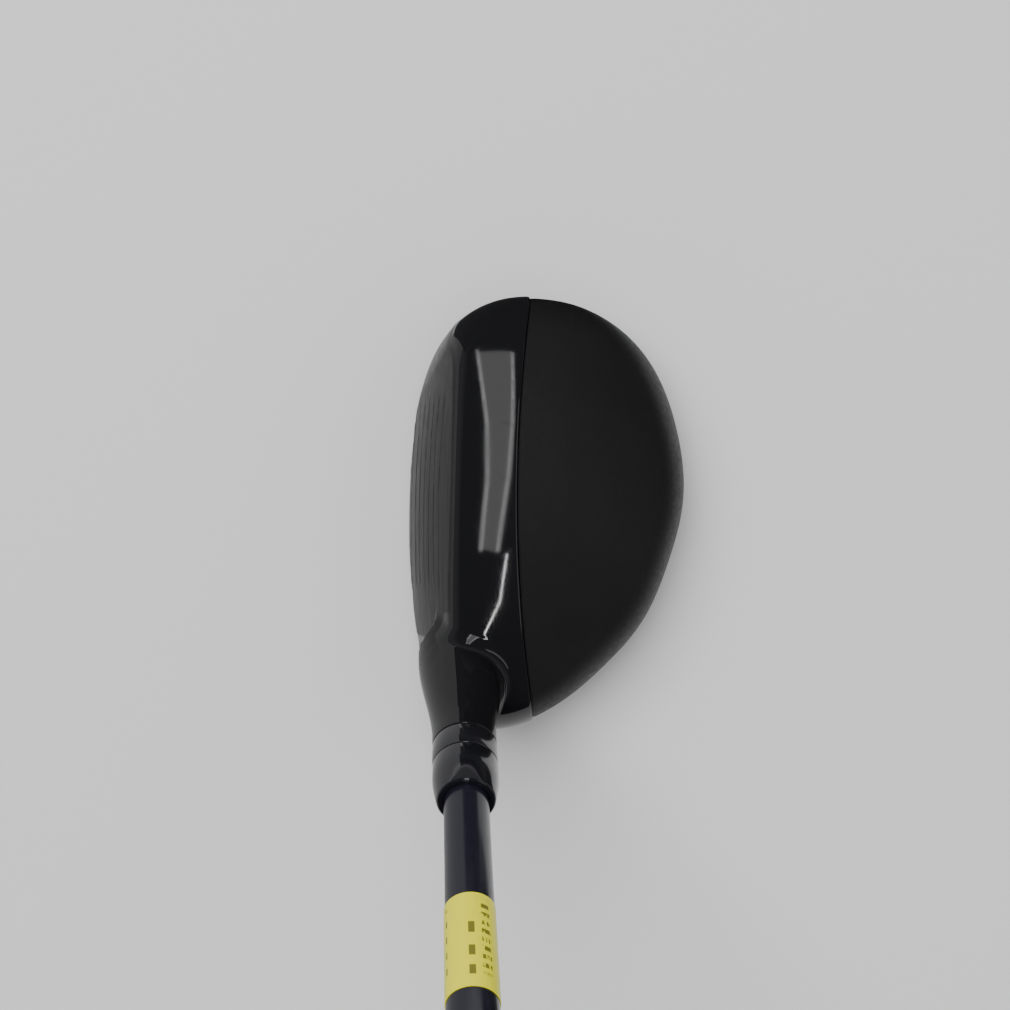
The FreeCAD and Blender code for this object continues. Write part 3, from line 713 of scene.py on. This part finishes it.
def face_to_crown():
    """Dark satin steel on the face, masked off along the topline from black lacquer."""
    finish = Finish("face_to_crown", (0.16, 0.16, 0.165), 0.36)
    places = finish.places.outputs["Object"]
    depth = finish.add("ShaderNodeVectorMath", operation="DISTANCE")
    finish.link(places, depth.inputs[0])
    depth.inputs[1].default_value = [number * MM for number in FACE_CENTRE]
    split = finish.add("ShaderNodeSeparateXYZ")
    finish.link(places, split.inputs["Vector"])
    beyond = finish.maths("MAXIMUM", finish.maths("SUBTRACT", SATIN_HEEL * MM, split.outputs["Y"]), 0.0)
    fall = finish.maths("MULTIPLY", finish.maths("POWER", split.outputs["Y"], 2.0), SATIN_CROWN_FALL / MM)
    height = finish.maths("ADD", split.outputs["Z"], fall)
    edge = finish.ranged(height, SATIN_CROWN[0] * MM, SATIN_CROWN[1] * MM, SATIN_SIDE * MM, SATIN_EDGE * MM)
    front = finish.maths("SUBTRACT", depth.outputs["Value"], finish.maths("ADD", edge, FACE_RADIUS * MM))
    front = finish.maths("SUBTRACT", front, finish.maths("MULTIPLY", beyond, SATIN_FALL))
    along = finish.add("ShaderNodeVectorMath", operation="DOT_PRODUCT")
    finish.link(places, along.inputs[0])
    along.inputs[1].default_value = SHAFT_WAY
    foot = SHAFT_FOOT.dot(SHAFT_WAY) * MM
    fade = finish.ranged(along.outputs["Value"], foot + SATIN_FADE[0] * MM, foot + SATIN_FADE[1] * MM, 1, 0)
    satin = finish.maths("MULTIPLY", finish.ranged(front, -0.0001, 0.0002, 0, 1), fade)

    brushed = finish.mapped((1, 0.02, 1))
    streaks = finish.noise(brushed, 1800, 3, 0.6)
    broad = finish.noise(brushed, 300, 3)
    steel = finish.colours(finish.ranged(broad, 0.3, 0.7, 0, 1), (0.03, 0.0295, 0.03), (0.046, 0.045, 0.0455))
    finish.link(finish.colours(satin, (0.006, 0.006, 0.007), steel), finish.shader.inputs["Base Color"])
    finish.link(satin, finish.shader.inputs["Metallic"])
    rough = finish.ranged(streaks, 0.3, 0.7, 0.3, 0.44)
    lacquer = finish.ranged(finish.noise(places, 90, 4), 0.35, 0.75, 0.04, 0.08)
    span = finish.maths("SUBTRACT", rough, lacquer)
    finish.link(finish.maths("ADD", lacquer, finish.maths("MULTIPLY", span, satin)),
                finish.shader.inputs["Roughness"])
    finish.bump(finish.maths("MULTIPLY", streaks, satin), 0.1, 0.00005)
    return finish.material


def turned_metal(name, colour, roughness, metallic=1.0):
    """Metal turned on a lathe, with fine uneven tool marks."""
    finish = Finish(name, colour, roughness, metallic=metallic)
    spots = finish.mapped((1, 1, 1))
    finish.link(finish.ranged(finish.noise(spots, 700, 3), 0.3, 0.7, roughness * 0.8, roughness * 1.25),
                finish.shader.inputs["Roughness"])
    finish.bump(finish.noise(spots, 3000, 2), 0.06, 0.00005)
    return finish.material


def shaft_lacquer():
    """Black carbon shaft under clear lacquer, a little blue."""
    finish = Finish("shaft_lacquer", (0.008, 0.008, 0.014), 0.2, coat=0.1, coat_roughness=0.03)
    spots = finish.mapped((1, 1, 1))
    fibre = finish.noise(finish.mapped((1, 0.03, 0.03)), 3000, 2)
    finish.link(finish.colours(fibre, (0.006, 0.006, 0.011), (0.011, 0.011, 0.019)),
                finish.shader.inputs["Base Color"])
    finish.link(finish.ranged(finish.noise(spots, 120, 3), 0.35, 0.7, 0.16, 0.26),
                finish.shader.inputs["Roughness"])
    finish.bump(finish.noise(spots, 200, 2), 0.02, 0.0002)
    return finish.material


def rubber(name, colour, pattern=False):
    """Grip rubber; pattern adds the moulded cross hatch."""
    finish = Finish(name, colour, 0.72, specular=0.35)
    grain = finish.noise(finish.mapped((1, 1, 1)), 1600, 3, 0.6)
    height = finish.maths("MULTIPLY", grain, 0.25)
    if pattern:
        for turn in (0.6, -0.6):
            wave = finish.add("ShaderNodeTexWave", wave_type="BANDS", bands_direction="X")
            wave.inputs["Scale"].default_value = 0.9
            finish.link(finish.mapped((1, 1, 1), (0, 0, turn), "UV"), wave.inputs["Vector"])
            ridge = finish.ranged(wave.outputs["Fac"], 0.15, 0.45, 0, 1)
            height = finish.maths("ADD", height, ridge)
    finish.bump(height, 0.5, 0.0002)
    return finish.material


def plain(name, colour, roughness, metallic=0.0):
    """Simple moulded or cast finish with a fine grain."""
    finish = Finish(name, colour, roughness, metallic=metallic)
    grain = finish.noise(finish.mapped((1, 1, 1)), 1200, 3)
    finish.link(finish.ranged(grain, 0.3, 0.7, roughness * 0.85, min(1.0, roughness * 1.15)),
                finish.shader.inputs["Roughness"])
    finish.bump(grain, 0.1, 0.0001)
    return finish.material


# ---------------------------------------------------------------- head pieces

def head_blank():
    """Evenly meshed closed skin of the whole head, with the hosel left long."""
    bm = bmesh.new()
    middle = Matrix.Translation((OUTLINE_MIDDLE[0], OUTLINE_MIDDLE[1], 17))
    size = Matrix.Diagonal((36, 48, 15, 1))
    bmesh.ops.create_uvsphere(bm, u_segments=96, v_segments=64, radius=1, matrix=middle @ size)
    settle(list(bm.verts), head_field, rounds=10)
    bmesh.ops.create_cone(bm, cap_ends=True, segments=64, radius1=9, radius2=HOSEL_RADIUS,
                          depth=38, matrix=shaft_matrix() @ Matrix.Translation((0, 0, 43)))
    blank = object_from(bm, "blank")
    remesh = blank.modifiers.new("even", "REMESH")
    remesh.mode = "VOXEL"
    remesh.voxel_size = 1.5 * MM
    baked(blank)
    return blank


def refined_blank():
    """The blank settled on the true skin and divided once."""
    blank = head_blank()
    bm = bmesh.new()
    bm.from_mesh(blank.data)
    bmesh.ops.scale(bm, vec=(1 / MM, 1 / MM, 1 / MM), verts=bm.verts)
    body = [v for v in bm.verts if (v.co - SHAFT_FOOT).dot(SHAFT_WAY) < HOSEL_TOP + 2]
    settle(body, skin_field)
    bmesh.ops.smooth_vert(bm, verts=body, factor=0.5, use_axis_x=True, use_axis_y=True, use_axis_z=True)
    settle(body, skin_field)
    bmesh.ops.subdivide_edges(bm, edges=bm.edges, cuts=1, use_grid_fill=True)
    body = [v for v in bm.verts if (v.co - SHAFT_FOOT).dot(SHAFT_WAY) < HOSEL_TOP + 2]
    settle(body, skin_field)
    bmesh.ops.smooth_vert(bm, verts=body, factor=0.4, use_axis_x=True, use_axis_y=True, use_axis_z=True)
    settle(body, skin_field)
    bpy.data.objects.remove(blank)
    close_hosel(bm)
    return bm


def close_hosel(bm):
    """Cut the hosel to length and close it with a rounded rim."""
    end = SHAFT_FOOT + SHAFT_WAY * (HOSEL_TOP - HOSEL_ROUND)
    bmesh.ops.bisect_plane(bm, geom=bm.verts[:] + bm.edges[:] + bm.faces[:], plane_co=end,
                           plane_no=SHAFT_WAY, clear_outer=True, dist=1e-5)
    rim = [edge for edge in bm.edges if edge.is_boundary]
    rise = [(0.13, 0.04), (0.11, 0.11), (0.06, 0.15)]
    for up, inwards in rise:
        grown = bmesh.ops.extrude_edge_only(bm, edges=rim)["geom"]
        verts = [item for item in grown if isinstance(item, bmesh.types.BMVert)]
        rim = [item for item in grown if isinstance(item, bmesh.types.BMEdge) and item.is_boundary]
        for vert in verts:
            local = vert.co - SHAFT_FOOT
            out = local - SHAFT_WAY * local.dot(SHAFT_WAY)
            vert.co += SHAFT_WAY * up - out.normalized() * inwards
    bmesh.ops.edgeloop_fill(bm, edges=rim)
    bmesh.ops.recalc_face_normals(bm, faces=bm.faces)


def sunk(bm, faces, field, level):
    """Push a region of faces down to a lower level, with walls round it."""
    grown = bmesh.ops.extrude_face_region(bm, geom=faces)["geom"]
    verts = [item for item in grown if isinstance(item, bmesh.types.BMVert)]
    settle(verts, field, level)
    left = [face for face in faces if face.is_valid]
    if left:
        bmesh.ops.delete(bm, geom=left, context="FACES")


def head_shell(blank, finish):
    """Polished band, skirt, sole and hosel, with seats for panel, cup, weight and badge."""
    bm = blank.copy()
    mark_line(bm, cup_place)
    for step in (0.0, 0.12, 0.3, 0.5, EDGE_ROLL):
        mark_line(bm, lambda p, step=step: panel_place(p) + step)
    outside = [v for v in bm.verts if v.is_valid]
    places = np.array([v.co for v in outside])
    roll = (panel_place(places) > -EDGE_ROLL - 0.05) & (panel_place(places) < 1e-3)
    settle([v for v, ok in zip(outside, roll) if ok], body_surface)
    sunk(bm, faces_where(bm, lambda p: panel_place(p) > 0), skin_field, -POCKET_DEPTH)
    sunk(bm, faces_where(bm, lambda p: (cup_place(p) > 0) & (skin_field(p) > -0.5)), skin_field,
         -CUP_WALL - 0.1)
    piece = object_from(bm, "head_shell")
    shaft = shaft_matrix()
    weight = sole_matrix(WEIGHT_AT, WEIGHT_SINK)
    badge = sole_matrix(BADGE_AT, BADGE_SINK)
    tools = [
        hollow_tool(),
        rod_tool(BORE_RADIUS, SEAT_TOP, HOSEL_TOP + 5, shaft),
        rod_tool(SEAT_HOLE, 0, SEAT_TOP + 1, shaft),
        rod_tool(PORT_RADIUS, -5, SEAT_BOTTOM, shaft),
        rod_tool(WEIGHT_RADIUS + 0.1, -WEIGHT_HEAD - 0.5, 5, weight),
        rod_tool(WEIGHT_THREAD[0] + 0.1, -WEIGHT_HEAD - 0.5 - WEIGHT_THREAD[1], 0, weight),
        rod_tool(BADGE_RADIUS + 0.08, -BADGE_WALL, 5, badge),
    ] + slot_tools(shaft, SLOT_START, HOSEL_TOP + 5)
    carved(piece, tools)
    skin_normals(piece, body_surface)
    return placed(piece, "head", ["head_body"], "polished_black", finish)


def face_cup(blank, finish):
    """Face cup: satin grooved face, polished where it turns over the edges."""
    bm = blank.copy()
    mark_line(bm, cup_place)
    gone = faces_where(bm, lambda p: cup_place(p) < 0)
    bmesh.ops.delete(bm, geom=gone, context="FACES")
    for line in range(-(GROOVES // 2), GROOVES // 2 + 1):
        for shift in (-GROOVE_HALF, -GROOVE_HALF + 0.3, GROOVE_HALF - 0.3, GROOVE_HALF):
            mark_line(bm, lambda p, at=line * GROOVE_PITCH + shift: face_height(p) - at)
    settle(list(bm.verts), cup_surface)
    thicken(bm, -CUP_WALL)
    piece = object_from(bm, "face_cup")
    skin_normals(piece, cup_surface)
    return placed(piece, "head", ["face_insert"], "satin_face", finish)


def face_height(p):
    """Distance up the face from its middle."""
    up = np.cross(np.array([0.0, 1.0, 0.0]), FACE_OUT)
    return (p - np.array(FACE_POINT)) @ up


def thicken(bm, level):
    """Close an open sheet with an inner wall at a lower level of the skin."""
    copy = bmesh.ops.duplicate(bm, geom=bm.verts[:] + bm.edges[:] + bm.faces[:])
    inner_verts = [item for item in copy["geom"] if isinstance(item, bmesh.types.BMVert)]
    inner_faces = [item for item in copy["geom"] if isinstance(item, bmesh.types.BMFace)]
    settle(inner_verts, skin_field, level, rounds=8)
    bmesh.ops.reverse_faces(bm, faces=inner_faces)
    rims = [edge for edge in bm.edges if edge.is_boundary]
    bmesh.ops.bridge_loops(bm, edges=rims)


def crown_shell(blank, matte):
    """Moulded crown panel, just below the polished band."""
    bm = blank.copy()
    place = lambda p: panel_place(p) - PANEL_GAP
    for step in (0.0, 0.12, 0.3, 0.5, EDGE_ROLL):
        mark_line(bm, lambda p, step=step: place(p) - step)
    bmesh.ops.delete(bm, geom=faces_where(bm, lambda p: place(p) < 0), context="FACES")
    settle(list(bm.verts), panel_surface)
    thicken(bm, -PANEL_STEP - PANEL_WALL)
    piece = object_from(bm, "crown_shell")
    skin_normals(piece, panel_surface)
    return placed(piece, "head", ["crown_panel"], "matte_black", matte)


def bond_bead(blank, material):
    """Film of adhesive under the crown panel's edge."""
    bm = blank.copy()
    near = lambda p: panel_place(p) - BOND_INSET
    far = lambda p: BOND_INSET + BOND_WIDTH - panel_place(p)
    mark_line(bm, near)
    mark_line(bm, far)
    bmesh.ops.delete(bm, geom=faces_where(bm, lambda p: (near(p) < 0) | (far(p) < 0)), context="FACES")
    under = -PANEL_STEP - PANEL_WALL - BOND_GAP
    settle(list(bm.verts), skin_field, under)
    bmesh.ops.solidify(bm, geom=bm.faces[:], thickness=BOND_WALL)
    bmesh.ops.recalc_face_normals(bm, faces=bm.faces)
    piece = shaded(object_from(bm, "bond_bead"))
    return placed(piece, "head", ["crown_adhesive"], "bond_film", material)


# ---------------------------------------------------------------- shaft pieces

def ring_piece(material):
    """Adjusting ring with eased edges."""
    low, high = RING
    profile = [(BORE_RADIUS, low), (HOSEL_RADIUS, low), (HOSEL_RADIUS, high), (BORE_RADIUS, high)]
    piece = on_shaft(lathe(profile, 128, 0.28, 3), "adjusting_collar")
    return placed(piece, "shaft_assembly", ["adjusting_ring"], "anodised_black", material)


def ferrule_piece(material):
    """Turned ferrule: straight, then easing down to a small chamfer."""
    low, high = FERRULE
    straight = low + FERRULE_STRAIGHT
    bore = TIP_RADIUS + 0.1
    profile = [(bore, low), (HOSEL_RADIUS, low), (HOSEL_RADIUS, straight)]
    steps = 5
    for step in range(1, steps + 1):
        share = step / steps
        height = straight + (high - FERRULE_CHAMFER - straight) * share
        profile.append((HOSEL_RADIUS - (HOSEL_RADIUS - FERRULE_END) * share ** 1.6, height))
    profile += [(FERRULE_END - FERRULE_CHAMFER, high), (bore, high)]
    piece = on_shaft(lathe(profile, 128, 0.16, 3), "ferrule_cap")
    return placed(piece, "shaft_assembly", ["ferrule"], "ferrule_black", material)


def shaft_piece(material):
    """Shaft: parallel tip, long taper, parallel butt."""
    start, tip_end, taper_end, end = SHAFT
    profile = [(TIP_RADIUS, start), (TIP_RADIUS, tip_end)]
    steps = 6
    for step in range(1, steps + 1):
        share = step / steps
        height = tip_end + (taper_end - tip_end) * share
        profile.append((TIP_RADIUS + (BUTT_RADIUS - TIP_RADIUS) * share, height))
    profile += [(BUTT_RADIUS, end), (BUTT_RADIUS - BUTT_WALL, end), (BUTT_RADIUS - BUTT_WALL, taper_end),
                (TIP_RADIUS - TIP_WALL, tip_end), (TIP_RADIUS - TIP_WALL, start)]
    piece = on_shaft(lathe(profile, 96), "tapered_shaft")
    return placed(piece, "shaft_assembly", ["shaft"], "shaft_lacquer", material)


def wrap_map(piece, start, length):
    """UV map: degrees round the shaft and share of the length."""
    mesh = piece.data
    layer = mesh.uv_layers.new(name="UVMap")
    for polygon in mesh.polygons:
        angles = []
        for loop in polygon.loop_indices:
            local = mesh.vertices[mesh.loops[loop].vertex_index].co / MM - SHAFT_FOOT
            angles.append(math.degrees(math.atan2(local.dot(SHAFT_OVER), local.dot(SHAFT_SIDE))))
        wrap = max(angles) - min(angles) > 180
        for loop, angle in zip(polygon.loop_indices, angles):
            local = mesh.vertices[mesh.loops[loop].vertex_index].co / MM - SHAFT_FOOT
            turned = angle + 360 if wrap and angle < 0 else angle
            layer.data[loop].uv = (turned / 360, (local.dot(SHAFT_WAY) - start) / length)


def label_paper():
    """Coated yellow paper with plain printed blocks and bars."""
    finish = Finish("label_paper", (0.56, 0.53, 0.02), 0.3, specular=0.4)
    split = finish.add("ShaderNodeSeparateXYZ")
    finish.link(finish.places.outputs["UV"], split.inputs["Vector"])
    across, along = split.outputs["X"], split.outputs["Y"]

    def window(value, middle, half):
        away = finish.maths("ABSOLUTE", finish.maths("SUBTRACT", value, middle))
        return finish.ranged(away, half, half * 1.15, 1, 0)

    def repeat(value, times, middle, half):
        cell = finish.maths("FRACT", finish.maths("MULTIPLY", value, times))
        return window(cell, middle, half)

    ink = None
    blocks = [(0.25, 0.385, 0.018, 0.055), (0.25, 0.63, 0.018, 0.05), (0.25, 0.83, 0.018, 0.045)]
    for middle_x, middle_y, half_x, half_y in blocks:
        block = finish.maths("MULTIPLY", window(across, middle_x, half_x),
                             window(along, middle_y, half_y))
        ink = block if ink is None else finish.maths("MAXIMUM", ink, block)
    bars = finish.maths("MULTIPLY", window(across, 0.155, 0.03), repeat(along, 11, 0.5, 0.24))
    gaps = finish.noise(finish.mapped((60, 9, 1), source="UV"), 1.0, 1)
    bars = finish.maths("MULTIPLY", bars, finish.ranged(gaps, 0.42, 0.5, 0, 1))
    dashes = finish.maths("MULTIPLY", window(across, 0.43, 0.008), repeat(along, 6, 0.5, 0.2))
    for part in (bars, dashes):
        part = finish.maths("MULTIPLY", part, window(along, 0.47, 0.36))
        ink = finish.maths("MAXIMUM", ink, part)
    fibre = finish.noise(finish.mapped((1, 1, 1)), 900, 4, 0.6)
    paper = finish.colours(fibre, (0.66, 0.62, 0.004), (0.76, 0.72, 0.008))
    finish.link(finish.colours(finish.maths("MULTIPLY", ink, 0.86), paper, (0.05, 0.05, 0.012)),
                finish.shader.inputs["Base Color"])
    finish.bump(fibre, 0.15, 0.00005)
    return finish.material


def label_piece():
    """Label wrapped round the lower shaft, its ends nearly meeting underneath."""
    low, high = LABEL
    taper = (BUTT_RADIUS - TIP_RADIUS) / (SHAFT[2] - SHAFT[1])
    inner = [TIP_RADIUS + (at - SHAFT[1]) * taper + 0.02 for at in (low, high)]
    profile = [(inner[0], low), (inner[0] + LABEL_WALL, low),
               (inner[1] + LABEL_WALL, high), (inner[1], high)]
    piece = on_shaft(lathe(profile, 120, angle=LABEL_WRAP, start=LABEL_JOIN), "price_label")
    wrap_map(piece, low, high - low)
    return placed(piece, "shaft_assembly", ["price_sticker"], "label_paper", label_paper())


def grip_piece(material):
    """Tapered grip with ring grooves at the mouth and the butt."""
    low, high = GRIP
    length = high - low
    profile = [(GRIP_BORE, low), (GRIP_MOUTH - 0.5, low), (GRIP_MOUTH, low + 1.2)]
    grooves = [6.0, 10.0, 14.0, 236.0, 244.0]
    for at in grooves:
        for shift, depth in ((-0.9, 0.0), (-0.45, 0.45), (0.45, 0.45), (0.9, 0.0)):
            height = at + shift
            radius = GRIP_MOUTH + (GRIP_BUTT - GRIP_MOUTH) * (height / length) ** 0.92
            profile.append((radius - depth, low + height))
        if at == 14.0:
            for share in range(1, 8):
                height = 14.0 + (236.0 - 14.0) * share / 8
                radius = GRIP_MOUTH + (GRIP_BUTT - GRIP_MOUTH) * (height / length) ** 0.92
                profile.append((radius, low + height))
    profile += [(GRIP_BUTT, high), (GRIP_BORE, high)]
    piece = on_shaft(lathe(profile, 96), "rubber_grip")
    wrap_map(piece, low, length / 100)
    return placed(piece, "shaft_assembly", ["grip"], "grip_rubber", material)


def cap_piece(material):
    """Domed butt cap with a vent hole."""
    low = GRIP[1]
    profile = [
        (VENT_RADIUS, low - 1.8), (GRIP_BORE - 0.05, low - 1.8), (GRIP_BORE - 0.05, low),
        (CAP_RADIUS, low), (CAP_RADIUS, low + 2.2), (CAP_RADIUS - 0.5, low + 3.1),
        (CAP_RADIUS - 1.7, low + 3.7), (CAP_RADIUS - 4.5, CAP_TOP), (VENT_RADIUS + 1.2, CAP_TOP),
        (VENT_RADIUS, CAP_TOP - 0.4),
    ]
    piece = on_shaft(lathe(profile, 96), "butt_cap")
    return placed(piece, "shaft_assembly", ["grip_cap"], "cap_rubber", material)


# ---------------------------------------------------------------- sole fittings

def badge_piece(material):
    """Plain dished badge with a raised rim."""
    profile = [
        (0, -BADGE_WALL), (BADGE_RADIUS, -BADGE_WALL), (BADGE_RADIUS, -0.08),
        (BADGE_RADIUS - 0.08, 0), (BADGE_RADIUS - 0.7, 0), (BADGE_RADIUS - 1.0, -0.22),
        (BADGE_RADIUS - 3.6, -0.24), (BADGE_RADIUS - 3.8, -0.1), (0, -0.08),
    ]
    bm = lathe(profile, 96)
    bmesh.ops.transform(bm, matrix=sole_matrix(BADGE_AT, BADGE_SINK), verts=bm.verts)
    piece = shaded(object_from(bm, "plain_badge"))
    return placed(piece, "head", ["sole_badge"], "badge_metal", material)


# ---------------------------------------------------------------- studio

def area_light(name, place, target, size, power, mirrored=True):
    """A soft rectangular light; mirrored lights show in polished surfaces."""
    light = bpy.data.lights.new(name, "AREA")
    light.shape = "RECTANGLE"
    light.size, light.size_y = size
    light.energy = power
    lamp = bpy.data.objects.new(name, light)
    bpy.context.scene.collection.objects.link(lamp)
    lamp.location = place
    lamp.rotation_euler = (Vector(target) - Vector(place)).to_track_quat("-Z", "Y").to_euler()
    lamp.visible_camera = False
    lamp.visible_glossy = mirrored
    return lamp


def strip_light(name, start, end, width, glow):
    """A ceiling strip between two points, glow in watts a square metre."""
    start, end = Vector(start), Vector(end)
    length = (end - start).length
    lamp = area_light(name, (start + end) / 2, (start + end) / 2 - Vector((0, 0, 1)), (width, length),
                      glow * width * length)
    way = (end - start).normalized()
    up = Vector((0, 0, 1))
    lamp.rotation_euler = Matrix((way.cross(up), way, up)).transposed().to_euler()
    return lamp


def dark_card(name, corner, across, up, shade):
    """A dark card that only reflections see."""
    bm = bmesh.new()
    bmesh.ops.create_grid(bm, x_segments=1, y_segments=1, size=0.5)
    corner, across, up = Vector(corner), Vector(across), Vector(up)
    middle = corner + (across + up) / 2
    frame_of = Matrix((across, up, across.cross(up))).transposed().to_4x4()
    bmesh.ops.transform(bm, matrix=Matrix.Translation(middle) @ frame_of, verts=bm.verts)
    mesh = bpy.data.meshes.new(name)
    bm.to_mesh(mesh)
    bm.free()
    card = bpy.data.objects.new(name, mesh)
    bpy.context.scene.collection.objects.link(card)
    card.data.materials.append(Finish(name, (shade, shade, shade), 0.9, specular=0.0).material)
    card.visible_camera = False
    card.visible_diffuse = False
    card.visible_shadow = False


def room():
    """Even pale light; polished surfaces see grey walls, a dim ceiling, and dark behind the hands."""
    world = bpy.data.worlds.new("room")
    bpy.context.scene.world = world
    world.use_nodes = True
    tree = world.node_tree
    places = tree.nodes.new("ShaderNodeTexCoord")
    split = tree.nodes.new("ShaderNodeSeparateXYZ")
    tree.links.new(places.outputs["Generated"], split.inputs["Vector"])

    def ranged(value, low, high, out_low, out_high):
        node = tree.nodes.new("ShaderNodeMapRange")
        for socket, number in (("From Min", low), ("From Max", high),
                               ("To Min", out_low), ("To Max", out_high)):
            if isinstance(number, float):
                node.inputs[socket].default_value = number
            else:
                tree.links.new(number, node.inputs[socket])
        tree.links.new(value, node.inputs["Value"])
        return node.outputs["Result"]

    dim = ranged(split.outputs["Z"], 0.3, 0.6, ROOM_WALL, ROOM_DARK)
    dim = ranged(split.outputs["Y"], -0.9, -0.4, ROOM_HANDS, dim)
    seen = tree.nodes.new("ShaderNodeLightPath").outputs["Is Glossy Ray"]
    sky = tree.nodes["Background"]
    sky.inputs["Color"].default_value = (1, 1, 1, 1)
    tree.links.new(ranged(seen, 0.0, 1.0, ROOM_LIGHT, dim), sky.inputs["Strength"])


def spread(line, parts):
    """Points along a broken line, evenly spaced within each of its stretches."""
    stretches = [(Vector(start), Vector(end)) for start, end in zip(line, line[1:])]
    return [a.lerp(b, at / parts) for a, b in stretches for at in range(parts)] + [Vector(line[-1])]


def studio():
    """Pale floor, soft light overhead, a panel with two bright edges."""
    bm = bmesh.new()
    bmesh.ops.create_grid(bm, x_segments=8, y_segments=8, size=6)
    mesh = bpy.data.meshes.new("floor")
    bm.to_mesh(mesh)
    bm.free()
    floor = bpy.data.objects.new("floor", mesh)
    bpy.context.scene.collection.objects.link(floor)
    floor.data.materials.append(Finish("pale_floor", (0.62, 0.62, 0.62), 0.8, specular=0.2).material)
    room()
    area_light("overhead_softbox", (-0.7, 0.6, 1.9), (0, 0, 0), (1.3, 1.3), SOFTBOX, mirrored=False)
    left = [(-0.112, -0.33), (-0.05, 0.15), (-0.055, 0.6), (-0.19, 1.55)]
    right = [(0.05, -0.33), (0.15, 0.2), (0.2, 0.6), (0.27, 1.5)]
    for line in (left, right):
        for start, end in zip(line, line[1:]):
            strip_light("ceiling_strip", (*start, CEILING), (*end, CEILING), STRIP_WIDTH, STRIP_GLOW)
    edges = list(zip(spread(left, PANEL_PARTS), spread(right, PANEL_PARTS)))
    for (near_left, near_right), (far_left, far_right) in zip(edges, edges[1:]):
        width = ((near_left - near_right).length + (far_left - far_right).length) / 2
        start, end = (near_left + near_right) / 2, (far_left + far_right) / 2
        strip_light("ceiling_panel", (*start, CEILING + 0.02), (*end, CEILING + 0.02), width,
                    STRIP_GLOW * PANEL_SHARE)
    thin = [(0.134, -0.345, 1.5), (0.075, -0.635, 1.5), (-0.09, -0.86, 1.5)]
    for start, end in zip(thin, thin[1:]):
        strip_light("thin_strip", start, end, 0.008, STRIP_GLOW * THIN_SHARE)
    strip_light("side_strip", (0.75, -0.5, 0.85), (0.75, 0.5, 0.85), 0.22, SIDE_GLOW)
    dark_card("card_near_toe", (-0.033, 0.053, 0.0), (0.3, 0.0, 0.0), (0, 0, 0.042), 0.12)
    dark_card("card_far_toe", (-0.055, 0.12, 0.0), (0.4, 0.0, 0.0), (0, 0, 0.055), 0.02)
    dark_card("card_floor_left", (-0.7, -0.35, 0.001), (0.672, 0.0, 0.0), (0, 0.8, 0), 0.32)
    dark_card("card_on_floor", (0.09, -0.15, 0.001), (0.4, 0.0, 0.0), (0, 0.4, 0), 0.02)


def camera():
    """Looks down on the head."""
    tilt = math.radians(CAMERA_TILT)
    lens = bpy.data.cameras.new("camera")
    lens.sensor_width = 36.0
    lens.lens = CAMERA_LENS
    lens.clip_start = 0.01
    eye = bpy.data.objects.new("camera", lens)
    bpy.context.scene.collection.objects.link(eye)
    right = Vector((math.cos(tilt), 0, math.sin(tilt)))
    up = Vector((0, 1, 0))
    back = right.cross(up)
    turn = Matrix((right, up, back)).transposed().to_4x4()
    eye.matrix_world = Matrix.Translation(Vector(CAMERA_AT) * MM) @ turn
    bpy.context.scene.camera = eye


# ---------------------------------------------------------------- assembly

def paint_node(name, material):
    """Give a CAD node that stays its material."""
    mesh = frame["nodes"][name].data
    if not mesh.materials:
        mesh.materials.append(material)
    for place in range(len(mesh.materials)):
        mesh.materials[place] = material


def build():
    """Set the scene, make every piece, and paint the nodes that stay."""
    camera()
    studio()
    finish = face_to_crown()
    blank = refined_blank()
    head_shell(blank, finish)
    face_cup(blank, finish)
    crown_shell(blank, matte_black())
    bond_bead(blank, plain("bond_film", (0.09, 0.09, 0.1), 0.4))
    blank.free()

    ring_piece(gloss_black("anodised_black", (0.008, 0.008, 0.010)))
    ferrule_piece(gloss_black("ferrule_black", (0.006, 0.006, 0.008)))
    shaft_piece(shaft_lacquer())
    label_piece()
    grip_piece(rubber("grip_rubber", (0.018, 0.018, 0.019), pattern=True))
    cap_piece(rubber("cap_rubber", (0.022, 0.022, 0.023)))
    badge_piece(turned_metal("badge_metal", (0.42, 0.42, 0.43), 0.3))

    paint_node("inner_weight", plain("dense_alloy", (0.26, 0.26, 0.27), 0.5, 1.0))
    paint_node("sleeve", turned_metal("sleeve_metal", (0.55, 0.55, 0.56), 0.28))
    paint_node("shaft_epoxy", plain("epoxy", (0.35, 0.3, 0.16), 0.2))
    paint_node("tip_plug", plain("plug_plastic", (0.7, 0.7, 0.66), 0.5))
    paint_node("grip_tape", plain("tape", (0.55, 0.5, 0.4), 0.8))
    paint_node("screw_washer", turned_metal("washer_steel", (0.5, 0.5, 0.51), 0.35))
    paint_node("hosel_screw", turned_metal("screw_steel", (0.2, 0.2, 0.21), 0.35))
    paint_node("weight_washer", turned_metal("weight_washer_steel", (0.5, 0.5, 0.51), 0.35))
    paint_node("sole_weight", turned_metal("weight_steel", (0.4, 0.4, 0.41), 0.3))


build()
